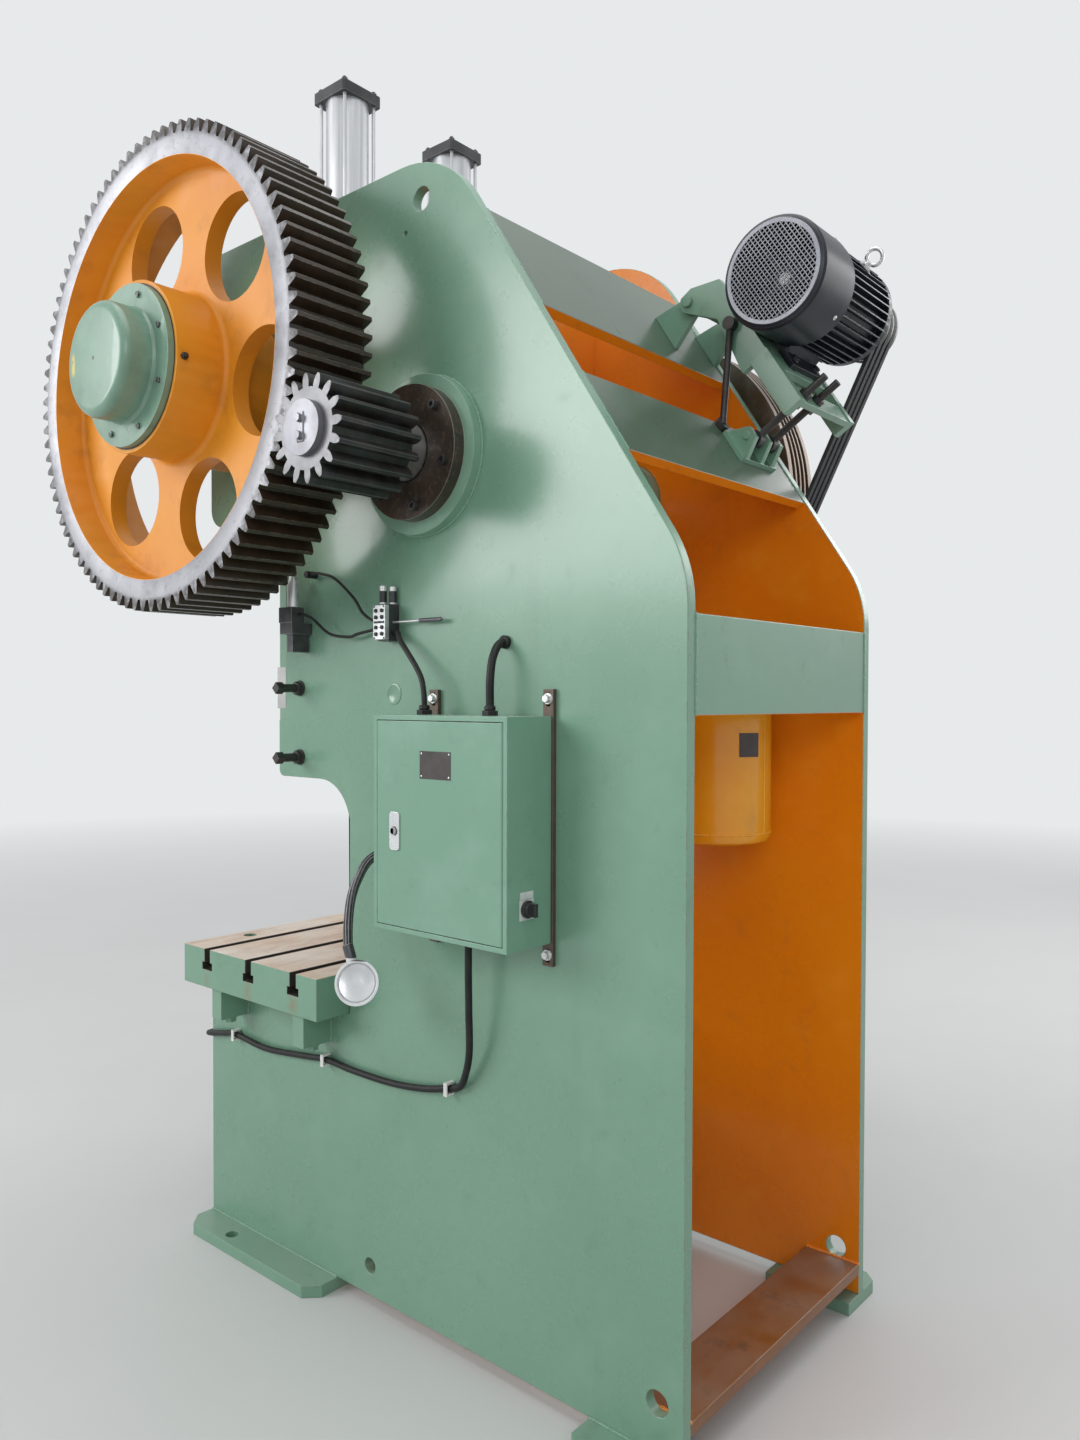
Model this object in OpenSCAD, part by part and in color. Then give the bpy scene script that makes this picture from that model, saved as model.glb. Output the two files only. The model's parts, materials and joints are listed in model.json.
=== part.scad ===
/* [Frame] */
// Width over the outer faces of the two side plates
frame_width = 900; // [860:5:960]
// Thickness of a side plate
plate_t = 30; // [26:1:36]
// Depth of the side plates, from bed front to back edge
frame_depth = 1760; // [1740:5:1800]
// Height of the top edge above the floor
frame_top = 3020; // [3000:5:3080]
// Thickness of the feet under the side plates
foot_t = 35; // [30:1:45]
// Distance between the anchor holes from side to side
anchor_across = 1010; // [990:2:1040]
// Distance between the anchor holes from front to back
anchor_along = 1470; // [1460:5:1480]
// Distance from the rear anchor holes to the back edge
anchor_inset = 100; // [90:5:120]
// Diameter of an anchor hole
anchor_hole_d = 38; // [30:1:44]
// Distance from the back edge to the top of the slope
slope_run = 715; // [700:5:740]
// Height at which the slope meets the back edge
slope_low = 1935; // [1910:5:1960]
// Radius of the two bends of the slope
slope_r = 300; // [240:10:320]
// Height of the underside of the head
head_low = 2180; // [2160:5:2200]
// Distance from bed front to the guide edge of the side plates
guide_inset = 385; // [375:5:395]
// Distance that the lip above the throat stands proud of the guide edge
lip_out = 32; // [24:2:36]
// Height of the top of that lip
lip_top = 1590; // [1570:5:1605]
// Height of the roof of the throat
throat_top = 1425; // [1415:5:1430]
// Depth of the throat behind the bed front
throat_depth = 674; // [664:2:684]
// Radius of the rear top corner of the throat
throat_r = 130; // [100:10:150]
// Height of the bed's top face
bed_top = 785; // [770:5:795]
// Diameter of the lifting holes near the crown
lift_hole_d = 60; // [50:2:70]
// Diameter of the lower holes through the side plates
rope_hole_d = 56; // [46:2:64]

/* [Cross plates] */
// Thickness of the plates between the side plates
cross_t = 26; // [22:1:30]
// Length of the upper slanted plate along the slope
upper_slant_len = 330; // [310:5:340]
// Distance from the slope's top corner down to the upper slanted plate's low edge
upper_slant_low = 536; // [526:2:546]
// Gap between the two slanted plates along the slope
slant_gap = 212; // [204:2:220]
// Length of the motor seat plate along the slope
seat_len = 234; // [226:2:240]
// Height of the low edge of the rear cross plate
rear_plate_low = 1617; // [1600:5:1640]
// Height of the rear cross plate itself
rear_plate_h = 215; // [195:5:225]
// Depth of the bar across the bottom at the back
floor_bar_depth = 155; // [130:5:180]
// Height of the top of that bar
floor_bar_top = 118; // [112:2:130]

/* [Bolster] */
// Width of the bolster plate
bolster_w = 1120; // [1090:5:1160]
// Thickness of the bolster plate
bolster_t = 115; // [105:1:130]
// Distance from the throat's back to the bolster's rear edge
bolster_gap = 5; // [3:1:10]
// Distance from bed front to the bolster's front edge
bolster_inset = 20; // [10:2:40]
// Distance between the T-slots
slot_pitch = 210; // [200:2:215]
// Width of a T-slot's neck
slot_neck = 28; // [24:1:32]
// Diameter of the drop hole in the bolster and the bed
drop_hole_d = 200; // [160:5:220]

/* [Gears] */
// Module of the gear pair
gear_module = 14; // [13.8:0.1:14.2]
// Teeth on the bull gear
gear_teeth = 90; // [88:2:92]
// Teeth on the pinion
pinion_teeth = 16; // [16:1:17]
// Play between the flanks, measured on the pitch circle
backlash = 1.4; // [1:0.1:2]
// Face width of the bull gear
gear_face = 225; // [215:1:235]
// Distance from the side plate to the gear's inner face
gear_out = 132; // [126:1:140]
// Radius inside the gear's rim
rim_inner_r = 556; // [550:1:566]
// Thickness of the gear's web
web_t = 50; // [40:1:60]
// Diameter of a lightening hole in the web
web_hole_d = 276; // [260:2:290]
// Distance of the lightening holes from the axis
web_hole_r = 392; // [385:1:398]
// Outer diameter of the gear's hub
hub_d = 450; // [430:2:460]
// Distance that the hub stands proud of the gear's outer face
hub_out = 58; // [50:1:70]
// Face width of the pinion
pinion_face = 240; // [235:1:250]

/* [Crank train] */
// Height of the crankshaft's axis
crank_z = 2530; // [2500:5:2560]
// Distance from bed front to the crankshaft's axis
crank_inset = 280; // [275:1:285]
// Stroke of the slide
stroke = 160; // [140:10:160]
// Height that the back shaft lies below the crankshaft
shaft_drop = 265; // [255:5:275]
// Diameter of the crankshaft in its bearings
crank_d = 180; // [174:1:186]
// Diameter of the crankshaft between bearing and crank cheek
crank_neck_d = 146; // [140:1:150]
// Diameter of the crank pin
pin_d = 200; // [190:1:206]
// Width of the connecting rod on the pin
rod_w = 170; // [150:2:174]
// Distance from the crank pin to the ball of the adjusting screw
rod_len = 670; // [665:1:680]
// Diameter of the ball
ball_d = 140; // [130:1:146]
// Diameter of the adjusting screw
screw_d = 100; // [90:1:110]
// Diameter of the back shaft in its bearings
shaft_d = 130; // [124:1:136]
// Diametral clearance of a running fit
run_fit = 0.12; // [0.08:0.01:0.16]
// Sliding clearance on each side of a guide
slide_fit = 0.4; // [0.3:0.05:0.6]

/* [Slide] */
// Width of the slide's body
slide_w = 520; // [500:5:540]
// Depth of the slide's body
slide_d = 396; // [390:2:404]
// Height of the slide's lower face above the floor at the top of the stroke
slide_low = 1510; // [1500:5:1520]
// Height of the slide's body
slide_h = 550; // [540:5:570]
// Width of the guide ribs on the slide's sides
rib_out = 70; // [60:2:76]
// Thickness of those guide ribs from front to back
rib_t = 84; // [76:2:90]
// Diameter of the tool shank hole
shank_d = 65; // [60:1:70]

/* [Flywheel and motor] */
// Outer diameter of the flywheel
flywheel_d = 1030; // [1010:5:1040]
// Width of the flywheel's rim
flywheel_w = 140; // [130:2:150]
// Distance from the far side plate to the flywheel
flywheel_out = 65; // [62:1:72]
// Belts side by side
belt_count = 4; // [3:1:5]
// Distance between the belts
belt_pitch = 26; // [25:1:28]
// Diameter of the motor pulley over the belts
pulley_d = 176; // [160:2:190]
// Diameter of the motor's fan cowl
cowl_d = 280; // [270:2:290]
// Length of the fan cowl
cowl_len = 155; // [145:1:165]
// Length of the finned motor body with its shields
motor_len = 277; // [270:1:285]
// Height of the motor's axis above its feet
motor_h = 142; // [141:1:146]
// Distance of the motor's axis from the slope
motor_off = 350; // [340:1:360]
// Distance of the motor's axis down the slope from the upper slanted plate
motor_down = 63; // [50:1:75]

/* [Balance cylinders] */
// Distance of a balance cylinder from the middle of the press
balance_x = 222; // [214:1:228]
// Distance of the balance cylinders behind the crankshaft's axis
balance_back = 106; // [104:1:112]
// Side of the square end caps
balance_cap = 145; // [135:1:155]
// Diameter of the cylinder tube
balance_tube_d = 128; // [120:1:134]
// Height of the top of the balance cylinders
balance_top = 3480; // [3460:2:3510]
// Diameter of the piston rods
balance_rod_d = 30; // [26:1:32]

/* [Control box] */
// Width of the control box along the side plate
box_w = 440; // [420:5:460]
// Height of the control box
box_h = 520; // [500:5:540]
// Depth of the control box with its door
box_d = 150; // [140:1:165]
// Distance from the back edge to the control box
box_inset = 357; // [345:1:370]
// Height of the control box's underside
box_low = 1092; // [1070:2:1100]
// Thickness of the mounting straps behind the box
strap_t = 12; // [10:1:14]
// Thickness of the box's sheet
sheet_t = 3; // [2:0.5:4]

/* [Air tank] */
// Diameter of the air tank
tank_d = 300; // [280:5:310]
// Height of the tank's underside
tank_low = 1258; // [1240:2:1280]
// Length of the air tank
tank_len = 540; // [520:5:560]

/* [Hidden] */
$fn = 64;

green = "#6f9c80";
orange = "#e08a1e";
steel = "#8d8f90";
dark_steel = "#4a3f38";
black = "#1d1d1f";
silver = "#c4c6c8";

half_w = frame_width / 2;
inner_x = half_w - plate_t;
rear_y = anchor_along / 2 + anchor_inset;
front_y = rear_y - frame_depth;
guide_y = front_y + guide_inset;
throat_y = front_y + throat_depth;

slope_top_y = rear_y - slope_run;
slope_tan = (frame_top - slope_low) / slope_run;
slope_tilt = atan(slope_tan);
seat_start = slant_gap;

crank_y = front_y + crank_inset;
centre_distance = gear_module * (gear_teeth + pinion_teeth) / 2;
shaft_y = crank_y + sqrt(pow(centre_distance, 2) - pow(shaft_drop, 2));
shaft_z = crank_z - shaft_drop;
mesh_angle = atan2(-shaft_drop, shaft_y - crank_y);
pin_z = crank_z + stroke / 2;
ball_z = pin_z - rod_len;

gear_x = half_w + gear_out;
pinion_x = gear_x - 2;
hub_end = gear_x + gear_face + hub_out;

cheek_t = 78;
cheek_r = 126;
cheek_x = rod_w / 2 + 3;
bearing_in = inner_x - 90;

// Points of an arc that rounds corner b between a and c
function arc_corner(a, b, c, r, n) =
    let (
        u = (a - b) / norm(a - b),
        v = (c - b) / norm(c - b),
        half = acos(u * v) / 2,
        centre = b + (u + v) / norm(u + v) * r / sin(half),
        p = b + u * r / tan(half) - centre,
        q = b + v * r / tan(half) - centre,
        start = atan2(p.y, p.x),
        turn = atan2(p.x * q.y - p.y * q.x, p * q)
    )
    [for (i = [0:n]) centre + r * [cos(start + turn * i / n), sin(start + turn * i / n)]];

// Outline through corners given as [x, y, radius]
function rounded(corners, n = 8) =
    let (m = len(corners), xy = [for (c = corners) [c.x, c.y]])
    [for (i = [0:m - 1])
        each corners[i].z == 0
            ? [xy[i]]
            : arc_corner(xy[(i + m - 1) % m], xy[i], xy[(i + 1) % m], corners[i].z, n)];

// Rectangle with rounded corners
function rounded_box(w, h, r) =
    rounded([[-w / 2, -h / 2, r], [w / 2, -h / 2, r], [w / 2, h / 2, r], [-w / 2, h / 2, r]], 5);

// Turns a drawing in the (y, z) plane into a solid from x0 to x0 + length
module along_x(x0, length) {
    translate([x0, 0, 0])
        rotate([90, 0, 90])
            linear_extrude(length) children();
}

// A round bar along X
module bar_x(x0, x1, y, z, d, sides = 64) {
    translate([x0, y, z])
        rotate([0, 90, 0])
            cylinder(d = d, h = x1 - x0, $fn = sides);
}

// A ring along X
module ring_x(x0, x1, y, z, outer, bore) {
    difference() {
        bar_x(x0, x1, y, z, outer);
        bar_x(x0 - 1, x1 + 1, y, z, bore);
    }
}

// Places its children on both sides of the press
module both_sides() {
    children();
    mirror([1, 0, 0]) children();
}

// Hexagonal screw head with a washer, along Z
module hex_head(d) {
    cylinder(d = 2.1 * d, h = 0.2 * d, $fn = 24);
    translate([0, 0, 0.2 * d]) cylinder(d = 1.8 * d, h = 0.65 * d, $fn = 6);
}

// Socket screw along Z, with its head above the origin and its shank below
module socket_screw(d, length) {
    difference() {
        cylinder(d = 1.5 * d, h = d, $fn = 24);
        translate([0, 0, 0.5 * d]) cylinder(d = 0.9 * d, h = d, $fn = 6);
    }
    translate([0, 0, -length]) cylinder(d = d, h = length + 0.1, $fn = 24);
}

// Axes of the slope: Y runs down the slope from the upper plate's low edge, Z stands off it
module on_slope() {
    translate([0, slope_top_y, frame_top])
        rotate([-slope_tilt, 0, 0])
            translate([0, upper_slant_low, 0])
                children();
}

// Tube swept along points, with a ring of corners at each one
function sweep_dir(p, i) =
    let (a = p[max(i - 1, 0)], b = p[min(i + 1, len(p) - 1)]) (b - a) / norm(b - a);
function sweep_side(dir, ref) = cross(dir, ref) / norm(cross(dir, ref));
module tube(points, d, sides = 10) {
    last = len(points) - 1;
    ref = [0.31, 0.22, 0.92];
    corners = [for (i = [0:last])
        let (dir = sweep_dir(points, i), u = sweep_side(dir, ref), v = cross(dir, u))
        for (k = [0:sides - 1])
            points[i] + d / 2 * (cos(360 * k / sides) * u + sin(360 * k / sides) * v)];
    walls = [for (i = [0:last - 1]) for (k = [0:sides - 1])
        let (m = i * sides, n = (k + 1) % sides) [m + k, m + sides + k, m + sides + n, m + n]];
    polyhedron(
        corners,
        concat([[for (k = [0:sides - 1]) k]], walls, [[for (k = [sides - 1:-1:0]) last * sides + k]]),
        convexity = 6
    );
}

// Smooth curve through chosen points
function spline_point(p, i, t) =
    let (a = p[max(i - 1, 0)], b = p[i], c = p[i + 1], d = p[min(i + 2, len(p) - 1)])
    0.5 * ((2 * b) + (c - a) * t + (2 * a - 5 * b + 4 * c - d) * t * t + (3 * b - a - 3 * c + d) * t * t * t);
function spline(p, steps) =
    concat([for (i = [0:len(p) - 2]) for (s = [0:steps - 1]) spline_point(p, i, s / steps)], [p[len(p) - 1]]);

// Corners of a side plate as [y, z, radius]
plate_corners = [
    [rear_y, foot_t, 0],
    [rear_y, slope_low, slope_r],
    [slope_top_y, frame_top, slope_r],
    [front_y, frame_top, 40],
    [front_y, head_low, 60],
    [guide_y, head_low, 110],
    [guide_y, lip_top, 0],
    [guide_y - lip_out, lip_top, 0],
    [guide_y - lip_out, throat_top, 20],
    [throat_y, throat_top, throat_r],
    [throat_y, bed_top, 0],
    [front_y, bed_top, 0],
    [front_y, foot_t, 0]
];
crank_bore_d = 300;
back_bore_d = 250;
lift_y = slope_top_y - 88;
lift_z = frame_top - 101;
gib_screw_y = guide_y + 68;
gib_screw_z = [throat_top + 58, throat_top + 255];
gib_screw_d = 24;

module side_plate() {
    difference() {
        along_x(inner_x, plate_t) polygon(rounded(plate_corners, 10));
        bar_x(inner_x - 1, half_w + 1, crank_y, crank_z, crank_bore_d);
        bar_x(inner_x - 1, half_w + 1, shaft_y, shaft_z, back_bore_d);
        bar_x(inner_x - 1, half_w + 1, lift_y, lift_z, lift_hole_d);
        bar_x(inner_x - 1, half_w + 1, lift_y - 60, lift_z - 71, 13);
        bar_x(inner_x - 1, half_w + 1, rear_y - 67, foot_t + 111, rope_hole_d);
        bar_x(inner_x - 1, half_w + 1, throat_y + 84, foot_t + 80, rope_hole_d - 14);
        for (z = gib_screw_z)
            bar_x(inner_x - 1, half_w + 1, gib_screw_y, z, gib_screw_d + 1);
    }
}
module side_plate_right() {
    color(green) side_plate();
}
module side_plate_left() {
    color(green) mirror([1, 0, 0]) side_plate();
}

// Plate between the side plates, lying in the slope
module slant_plate(start, length) {
    on_slope()
        translate([-inner_x, start, -cross_t - 2])
            cube([2 * inner_x, length, cross_t]);
}
module slanted_top_plate() {
    color(green) slant_plate(-upper_slant_len, upper_slant_len);
}
module motor_seat_plate() {
    color(green) slant_plate(seat_start, seat_len);
}
module rear_cross_plate() {
    color(green)
        translate([-inner_x, rear_y - cross_t, rear_plate_low])
            cube([2 * inner_x, cross_t, rear_plate_h]);
}
module floor_cross_bar() {
    color(orange)
        translate([-inner_x, rear_y - floor_bar_depth, floor_bar_top - plate_t])
            cube([2 * inner_x, floor_bar_depth, plate_t]);
}

bed_plate_t = 60;
module bed_top_plate() {
    color(green)
        difference() {
            translate([-inner_x, front_y, bed_top - bed_plate_t])
                cube([2 * inner_x, throat_depth - 40, bed_plate_t]);
            translate([0, crank_y, bed_top - bed_plate_t - 1])
                cylinder(d = drop_hole_d + 40, h = bed_plate_t + 2);
        }
}
module bed_front_plate() {
    color(green)
        difference() {
            translate([-inner_x, front_y, foot_t])
                cube([2 * inner_x, cross_t, bed_top - bed_plate_t - foot_t]);
            translate([0, front_y + cross_t + 1, 330])
                rotate([90, 0, 0])
                    linear_extrude(cross_t + 2) polygon(rounded_box(440, 260, 60));
        }
}

top_plate_z = frame_top - 120;
module head_top_plate() {
    color(green)
        difference() {
            translate([-inner_x, front_y + 20, top_plate_z])
                cube([2 * inner_x, lift_y - 160 - front_y, cross_t]);
            for (s = [-1, 1])
                translate([s * balance_x, crank_y + balance_back, top_plate_z - 1])
                    cylinder(d = balance_rod_d + 30, h = cross_t + 2);
        }
}
module head_cross_plate() {
    color(orange)
        translate([-inner_x, lift_y - 140, shaft_z + 240])
            cube([2 * inner_x, cross_t, top_plate_z - shaft_z - 240]);
}

foot_out = anchor_across / 2 + 40;
front_foot_len = 620;
rear_foot_len = 250;
// Outline of a right foot, from its inner edge to the clipped outer corners
module foot(y0, y1, clip) {
    difference() {
        linear_extrude(foot_t)
            polygon([
                [inner_x - 60, y0], [foot_out - clip, y0], [foot_out, y0 + clip],
                [foot_out, y1 - clip], [foot_out - clip, y1], [inner_x - 60, y1]
            ]);
        for (y = [-anchor_along / 2, anchor_along / 2])
            translate([anchor_across / 2, y, -1])
                cylinder(d = anchor_hole_d, h = foot_t + 2);
    }
}
module machine_feet() {
    color(green)
        both_sides() {
            foot(front_y, front_y + front_foot_len, 40);
            foot(rear_y - rear_foot_len, rear_y, 30);
        }
}

// Brackets under the overhanging ends of the bolster, with a support screw below each
bracket_t = 48;
bracket_h = 92;
bracket_y = [throat_y - 525, throat_y - 128];
bolster_half = bolster_w / 2;
bracket_out = bolster_half - half_w - 14;
module bolster_brackets() {
    color(green)
        both_sides()
            for (y = bracket_y) {
                translate([half_w, y, bed_top - bracket_h])
                    cube([bracket_out, bracket_t, bracket_h]);
                translate([half_w + bracket_out / 2, y + bracket_t / 2, bed_top - bracket_h])
                    rotate([180, 0, 0]) hex_head(20);
            }
}

bolster_y0 = front_y + bolster_inset;
bolster_y1 = throat_y - bolster_gap;
slot_y = (bolster_y0 + bolster_y1) / 2 + 10;
slot_deep = 42;
bolster_bolt_d = 24;
bolster_bolts = [for (x = [-1, 1], y = [bolster_y0 + 52, bolster_y1 - 50]) [x * (inner_x - 60), y]];
module bolster_plate() {
    color(green)
        difference() {
            translate([-bolster_half, bolster_y0, bed_top])
                cube([bolster_w, bolster_y1 - bolster_y0, bolster_t]);
            for (k = [-1:1])
                translate([-bolster_half - 1, slot_y + k * slot_pitch, bed_top + bolster_t]) {
                    translate([0, -slot_neck / 2, -slot_deep])
                        cube([bolster_w + 2, slot_neck, slot_deep + 1]);
                    translate([0, -slot_neck * 0.9, -slot_deep - 20])
                        cube([bolster_w + 2, slot_neck * 1.8, 22]);
                }
            translate([0, crank_y, bed_top - 1]) cylinder(d = drop_hole_d, h = bolster_t + 2);
            for (p = bolster_bolts)
                translate([p.x, p.y, bed_top - 1]) {
                    cylinder(d = bolster_bolt_d + 2, h = bolster_t + 2);
                    translate([0, 0, bolster_t - 29]) cylinder(d = 1.5 * bolster_bolt_d + 4, h = 32);
                }
        }
}

// Crankshaft bearing in the right plate, its bronze bush bored to size
housing_d = crank_bore_d;
housing_flange_d = 400;
housing_t = 48;
module crank_housing() {
    difference() {
        union() {
            bar_x(bearing_in, half_w + housing_t, crank_y, crank_z, housing_d);
            bar_x(half_w, half_w + housing_t - 4, crank_y, crank_z, housing_flange_d);
        }
        bar_x(bearing_in - 1, half_w + housing_t + 1, crank_y, crank_z, crank_d + run_fit);
    }
}
module crank_bearing_right() {
    color(green) crank_housing();
}
module crank_bearing_left() {
    color(green) mirror([1, 0, 0]) crank_housing();
}

// Two cheeks around the crank pin, journals on both ends and the gear's seat on the right
seat_d = crank_d - 20;
key_w = 40;
key_h = 22;
module cheek(x0) {
    bar_x(x0, x0 + cheek_t, crank_y, crank_z, 2 * cheek_r);
    bar_x(x0, x0 + cheek_t, crank_y, pin_z, 2 * cheek_r);
    translate([x0, crank_y - cheek_r, crank_z]) cube([cheek_t, 2 * cheek_r, stroke / 2]);
}
module crankshaft() {
    color(steel) {
        bar_x(-cheek_x, cheek_x, crank_y, pin_z, pin_d);
        for (x = [-cheek_x - cheek_t, cheek_x]) cheek(x);
        bar_x(cheek_x + cheek_t, bearing_in - 8, crank_y, crank_z, crank_neck_d);
        bar_x(-bearing_in + 8, -cheek_x - cheek_t, crank_y, crank_z, crank_neck_d);
        bar_x(bearing_in - 8, gear_x - 30, crank_y, crank_z, crank_d);
        bar_x(-half_w - housing_t + 4, -bearing_in + 8, crank_y, crank_z, crank_d);
        bar_x(gear_x - 30, hub_end - 16, crank_y, crank_z, seat_d);
        translate([gear_x + 10, crank_y - key_w / 2, crank_z + seat_d / 2 - key_h / 2])
            cube([hub_end - 30 - gear_x, key_w, key_h]);
    }
}

// A flank point of an involute tooth: radius r, half tooth angle h at the pitch circle
function involute_angle(r, base) = r <= base ? 0 : sqrt(pow(r / base, 2) - 1) * 180 / PI - acos(base / r);
function flank(z, r, play) =
    let (
        pitch_r = gear_module * z / 2,
        base = pitch_r * cos(20),
        half = 90 / z - play / 4 / pitch_r * 180 / PI
    )
    half + involute_angle(pitch_r, base) - involute_angle(r, base);
// Outline of a spur gear with a tooth centred on the angle first
function gear_outline(z, first, play) =
    let (
        root = gear_module * (z / 2 - 1.25),
        tip = gear_module * (z / 2 + 1),
        radii = [for (i = [0:4]) root + (tip - root) * [0, 0.22, 0.5, 0.78, 1][i]]
    )
    [for (t = [0:z - 1])
        let (a = first + 360 * t / z)
        each concat(
            [for (r = radii) r * [cos(a - flank(z, r, play)), sin(a - flank(z, r, play))]],
            [for (i = [4:-1:0])
                let (r = radii[i]) r * [cos(a + flank(z, r, play)), sin(a + flank(z, r, play))]]
        )];

web_hole_phase = -11;
module bull_gear() {
    web_x = gear_x + (gear_face - web_t) / 2;
    color(orange)
        difference() {
            union() {
                along_x(gear_x, gear_face)
                    translate([crank_y, crank_z])
                        difference() {
                            polygon(gear_outline(gear_teeth, mesh_angle + 180 / gear_teeth, backlash));
                            circle(r = rim_inner_r, $fn = 128);
                        }
                along_x(web_x, web_t)
                    translate([crank_y, crank_z])
                        difference() {
                            circle(r = rim_inner_r, $fn = 128);
                            for (k = [0:5])
                                rotate(web_hole_phase + 60 * k)
                                    translate([web_hole_r, 0])
                                        circle(d = web_hole_d);
                        }
                bar_x(gear_x - 30, hub_end, crank_y, crank_z, hub_d);
            }
            bar_x(gear_x - 31, hub_end + 1, crank_y, crank_z, seat_d);
            translate([gear_x + 10, crank_y - key_w / 2, crank_z])
                cube([hub_end - gear_x, key_w, seat_d / 2 + key_h / 2]);
        }
}

// Green cap over the shaft's end: a flange with small screws and a rounded pot
cap_d = 300;
cap_len = 106;
cap_flange_d = hub_d - 26;
cap_flange_t = 18;
cap_round = 26;
cap_hollow_d = cap_d - 24;
module gear_cap() {
    color(green) {
        translate([hub_end, crank_y, crank_z])
            rotate([0, 90, 0])
                rotate_extrude($fn = 72)
                    polygon(concat(
                        [[cap_hollow_d / 2, 0], [cap_flange_d / 2, 0], [cap_flange_d / 2, cap_flange_t]],
                        [[cap_d / 2 + 4, cap_flange_t], [cap_d / 2, cap_flange_t + 6]],
                        [for (i = [0:6])
                            [cap_d / 2 - cap_round + cap_round * cos(15 * i),
                                cap_len - cap_round + cap_round * sin(15 * i)]],
                        [[0, cap_len], [0, cap_len - 12], [cap_hollow_d / 2 - 10, cap_len - 12]],
                        [[cap_hollow_d / 2, cap_len - 22]]
                    ));
        for (k = [0:7])
            translate([hub_end + cap_flange_t, crank_y, crank_z])
                rotate([22.5 + 45 * k, 0, 0])
                    translate([0, 0, cap_d / 2 + 34])
                        rotate([0, 90, 0]) cylinder(d = 18, h = 7, $fn = 6);
    }
}
module crank_end_cover() {
    color(green)
        translate([-half_w - housing_t, crank_y, crank_z])
            rotate([0, -90, 0]) {
                cylinder(d = 290, h = 14);
                cylinder(d = 210, h = 30);
                for (k = [0:5])
                    rotate(60 * k) translate([125, 0, 14]) hex_head(12);
            }
}

// Back shaft bearing: welded green boss, dark flange ring outside, sleeve through the plate
boss_d = 400;
boss_t = 30;
ring_d = 336;
ring_t = 34;
seal_d = shaft_d + 20;
ring_screw_d = 16;
ring_screw_len = 20;
// Places its children on the ring's screw circle, local Z pointing out of the ring
module on_back_ring() {
    for (k = [0:5])
        translate([half_w + boss_t + ring_t, shaft_y, shaft_z])
            rotate([14 + 60 * k, 0, 0])
                translate([0, 0, ring_d / 2 - 26])
                    rotate([0, 90, 0]) children();
}
module back_housing() {
    color(green) ring_x(half_w, half_w + boss_t, shaft_y, shaft_z, boss_d, back_bore_d);
}
module back_sleeve() {
    color(dark_steel)
        difference() {
            union() {
                bar_x(inner_x - 30, half_w + boss_t, shaft_y, shaft_z, back_bore_d - 0.2);
                bar_x(half_w + boss_t, half_w + boss_t + ring_t, shaft_y, shaft_z, ring_d);
            }
            bar_x(inner_x - 31, half_w + boss_t, shaft_y, shaft_z, shaft_d + run_fit);
            bar_x(half_w + boss_t - 1, half_w + boss_t + ring_t + 1, shaft_y, shaft_z, seal_d);
        }
}
module back_bearing_right() {
    back_housing();
    difference() {
        back_sleeve();
        on_back_ring()
            translate([0, 0, -ring_screw_len - 0.1]) cylinder(d = ring_screw_d, h = ring_screw_len + 1);
    }
}
module back_bearing_left() {
    mirror([1, 0, 0]) {
        back_housing();
        difference() {
            back_sleeve();
            bar_x(half_w + boss_t + ring_t - 10, half_w + 200, shaft_y, shaft_z, ring_d + 10);
        }
    }
}
module frame_screws() {
    color(black) {
        for (p = bolster_bolts)
            translate([p.x, p.y, bed_top + bolster_t - 30])
                socket_screw(bolster_bolt_d, bolster_t - 30.1);
        on_back_ring() socket_screw(ring_screw_d, ring_screw_len);
        both_sides()
            for (k = [0:7])
                translate([half_w + housing_t - 4, crank_y, crank_z])
                    rotate([22.5 + 45 * k, 0, 0])
                        translate([0, 0, housing_flange_d / 2 - 24])
                            rotate([0, 90, 0]) hex_head(14);
    }
}

// Back shaft: pinion seat on the right, flywheel seat on the left
pinion_end = pinion_x + pinion_face;
shaft_end_d = shaft_d - 16;
wheel_x = -half_w - flywheel_out;
module back_shaft() {
    color(steel) {
        bar_x(-half_w - flywheel_out + 5, pinion_x - 66, shaft_y, shaft_z, shaft_d);
        bar_x(pinion_x - 66, pinion_x, shaft_y, shaft_z, shaft_d + 14);
        bar_x(pinion_x, pinion_end, shaft_y, shaft_z, shaft_end_d);
        bar_x(wheel_x - flywheel_w - 96, wheel_x + 5, shaft_y, shaft_z, shaft_end_d);
    }
}
module pinion() {
    color(steel)
        along_x(pinion_x, pinion_face)
            translate([shaft_y, shaft_z])
                difference() {
                    polygon(gear_outline(pinion_teeth, mesh_angle + 180, backlash));
                    circle(d = shaft_end_d);
                }
}
end_plate_d = 128;
end_plate_t = 16;
module pinion_end_plate() {
    color(silver)
        translate([pinion_end, shaft_y, shaft_z])
            rotate([0, 90, 0]) {
                cylinder(d = end_plate_d, h = end_plate_t);
                translate([-34, -11, end_plate_t]) cube([68, 22, 3]);
                for (s = [-1, 1])
                    translate([20 * s, 0, end_plate_t + 3]) cylinder(d = 21, h = 9, $fn = 6);
            }
}

// Flywheel, free to turn on the back shaft's far end, grooved for the belts
wheel_r = flywheel_d / 2;
wheel_mid = wheel_x - flywheel_w / 2;
belt_w = 15;
belt_rise = 1;
belt_h = 12;
groove_w = belt_w + 2;
groove_deep = belt_h - belt_rise + 2;
function belt_x(k) = (k - (belt_count - 1) / 2) * belt_pitch;
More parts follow.
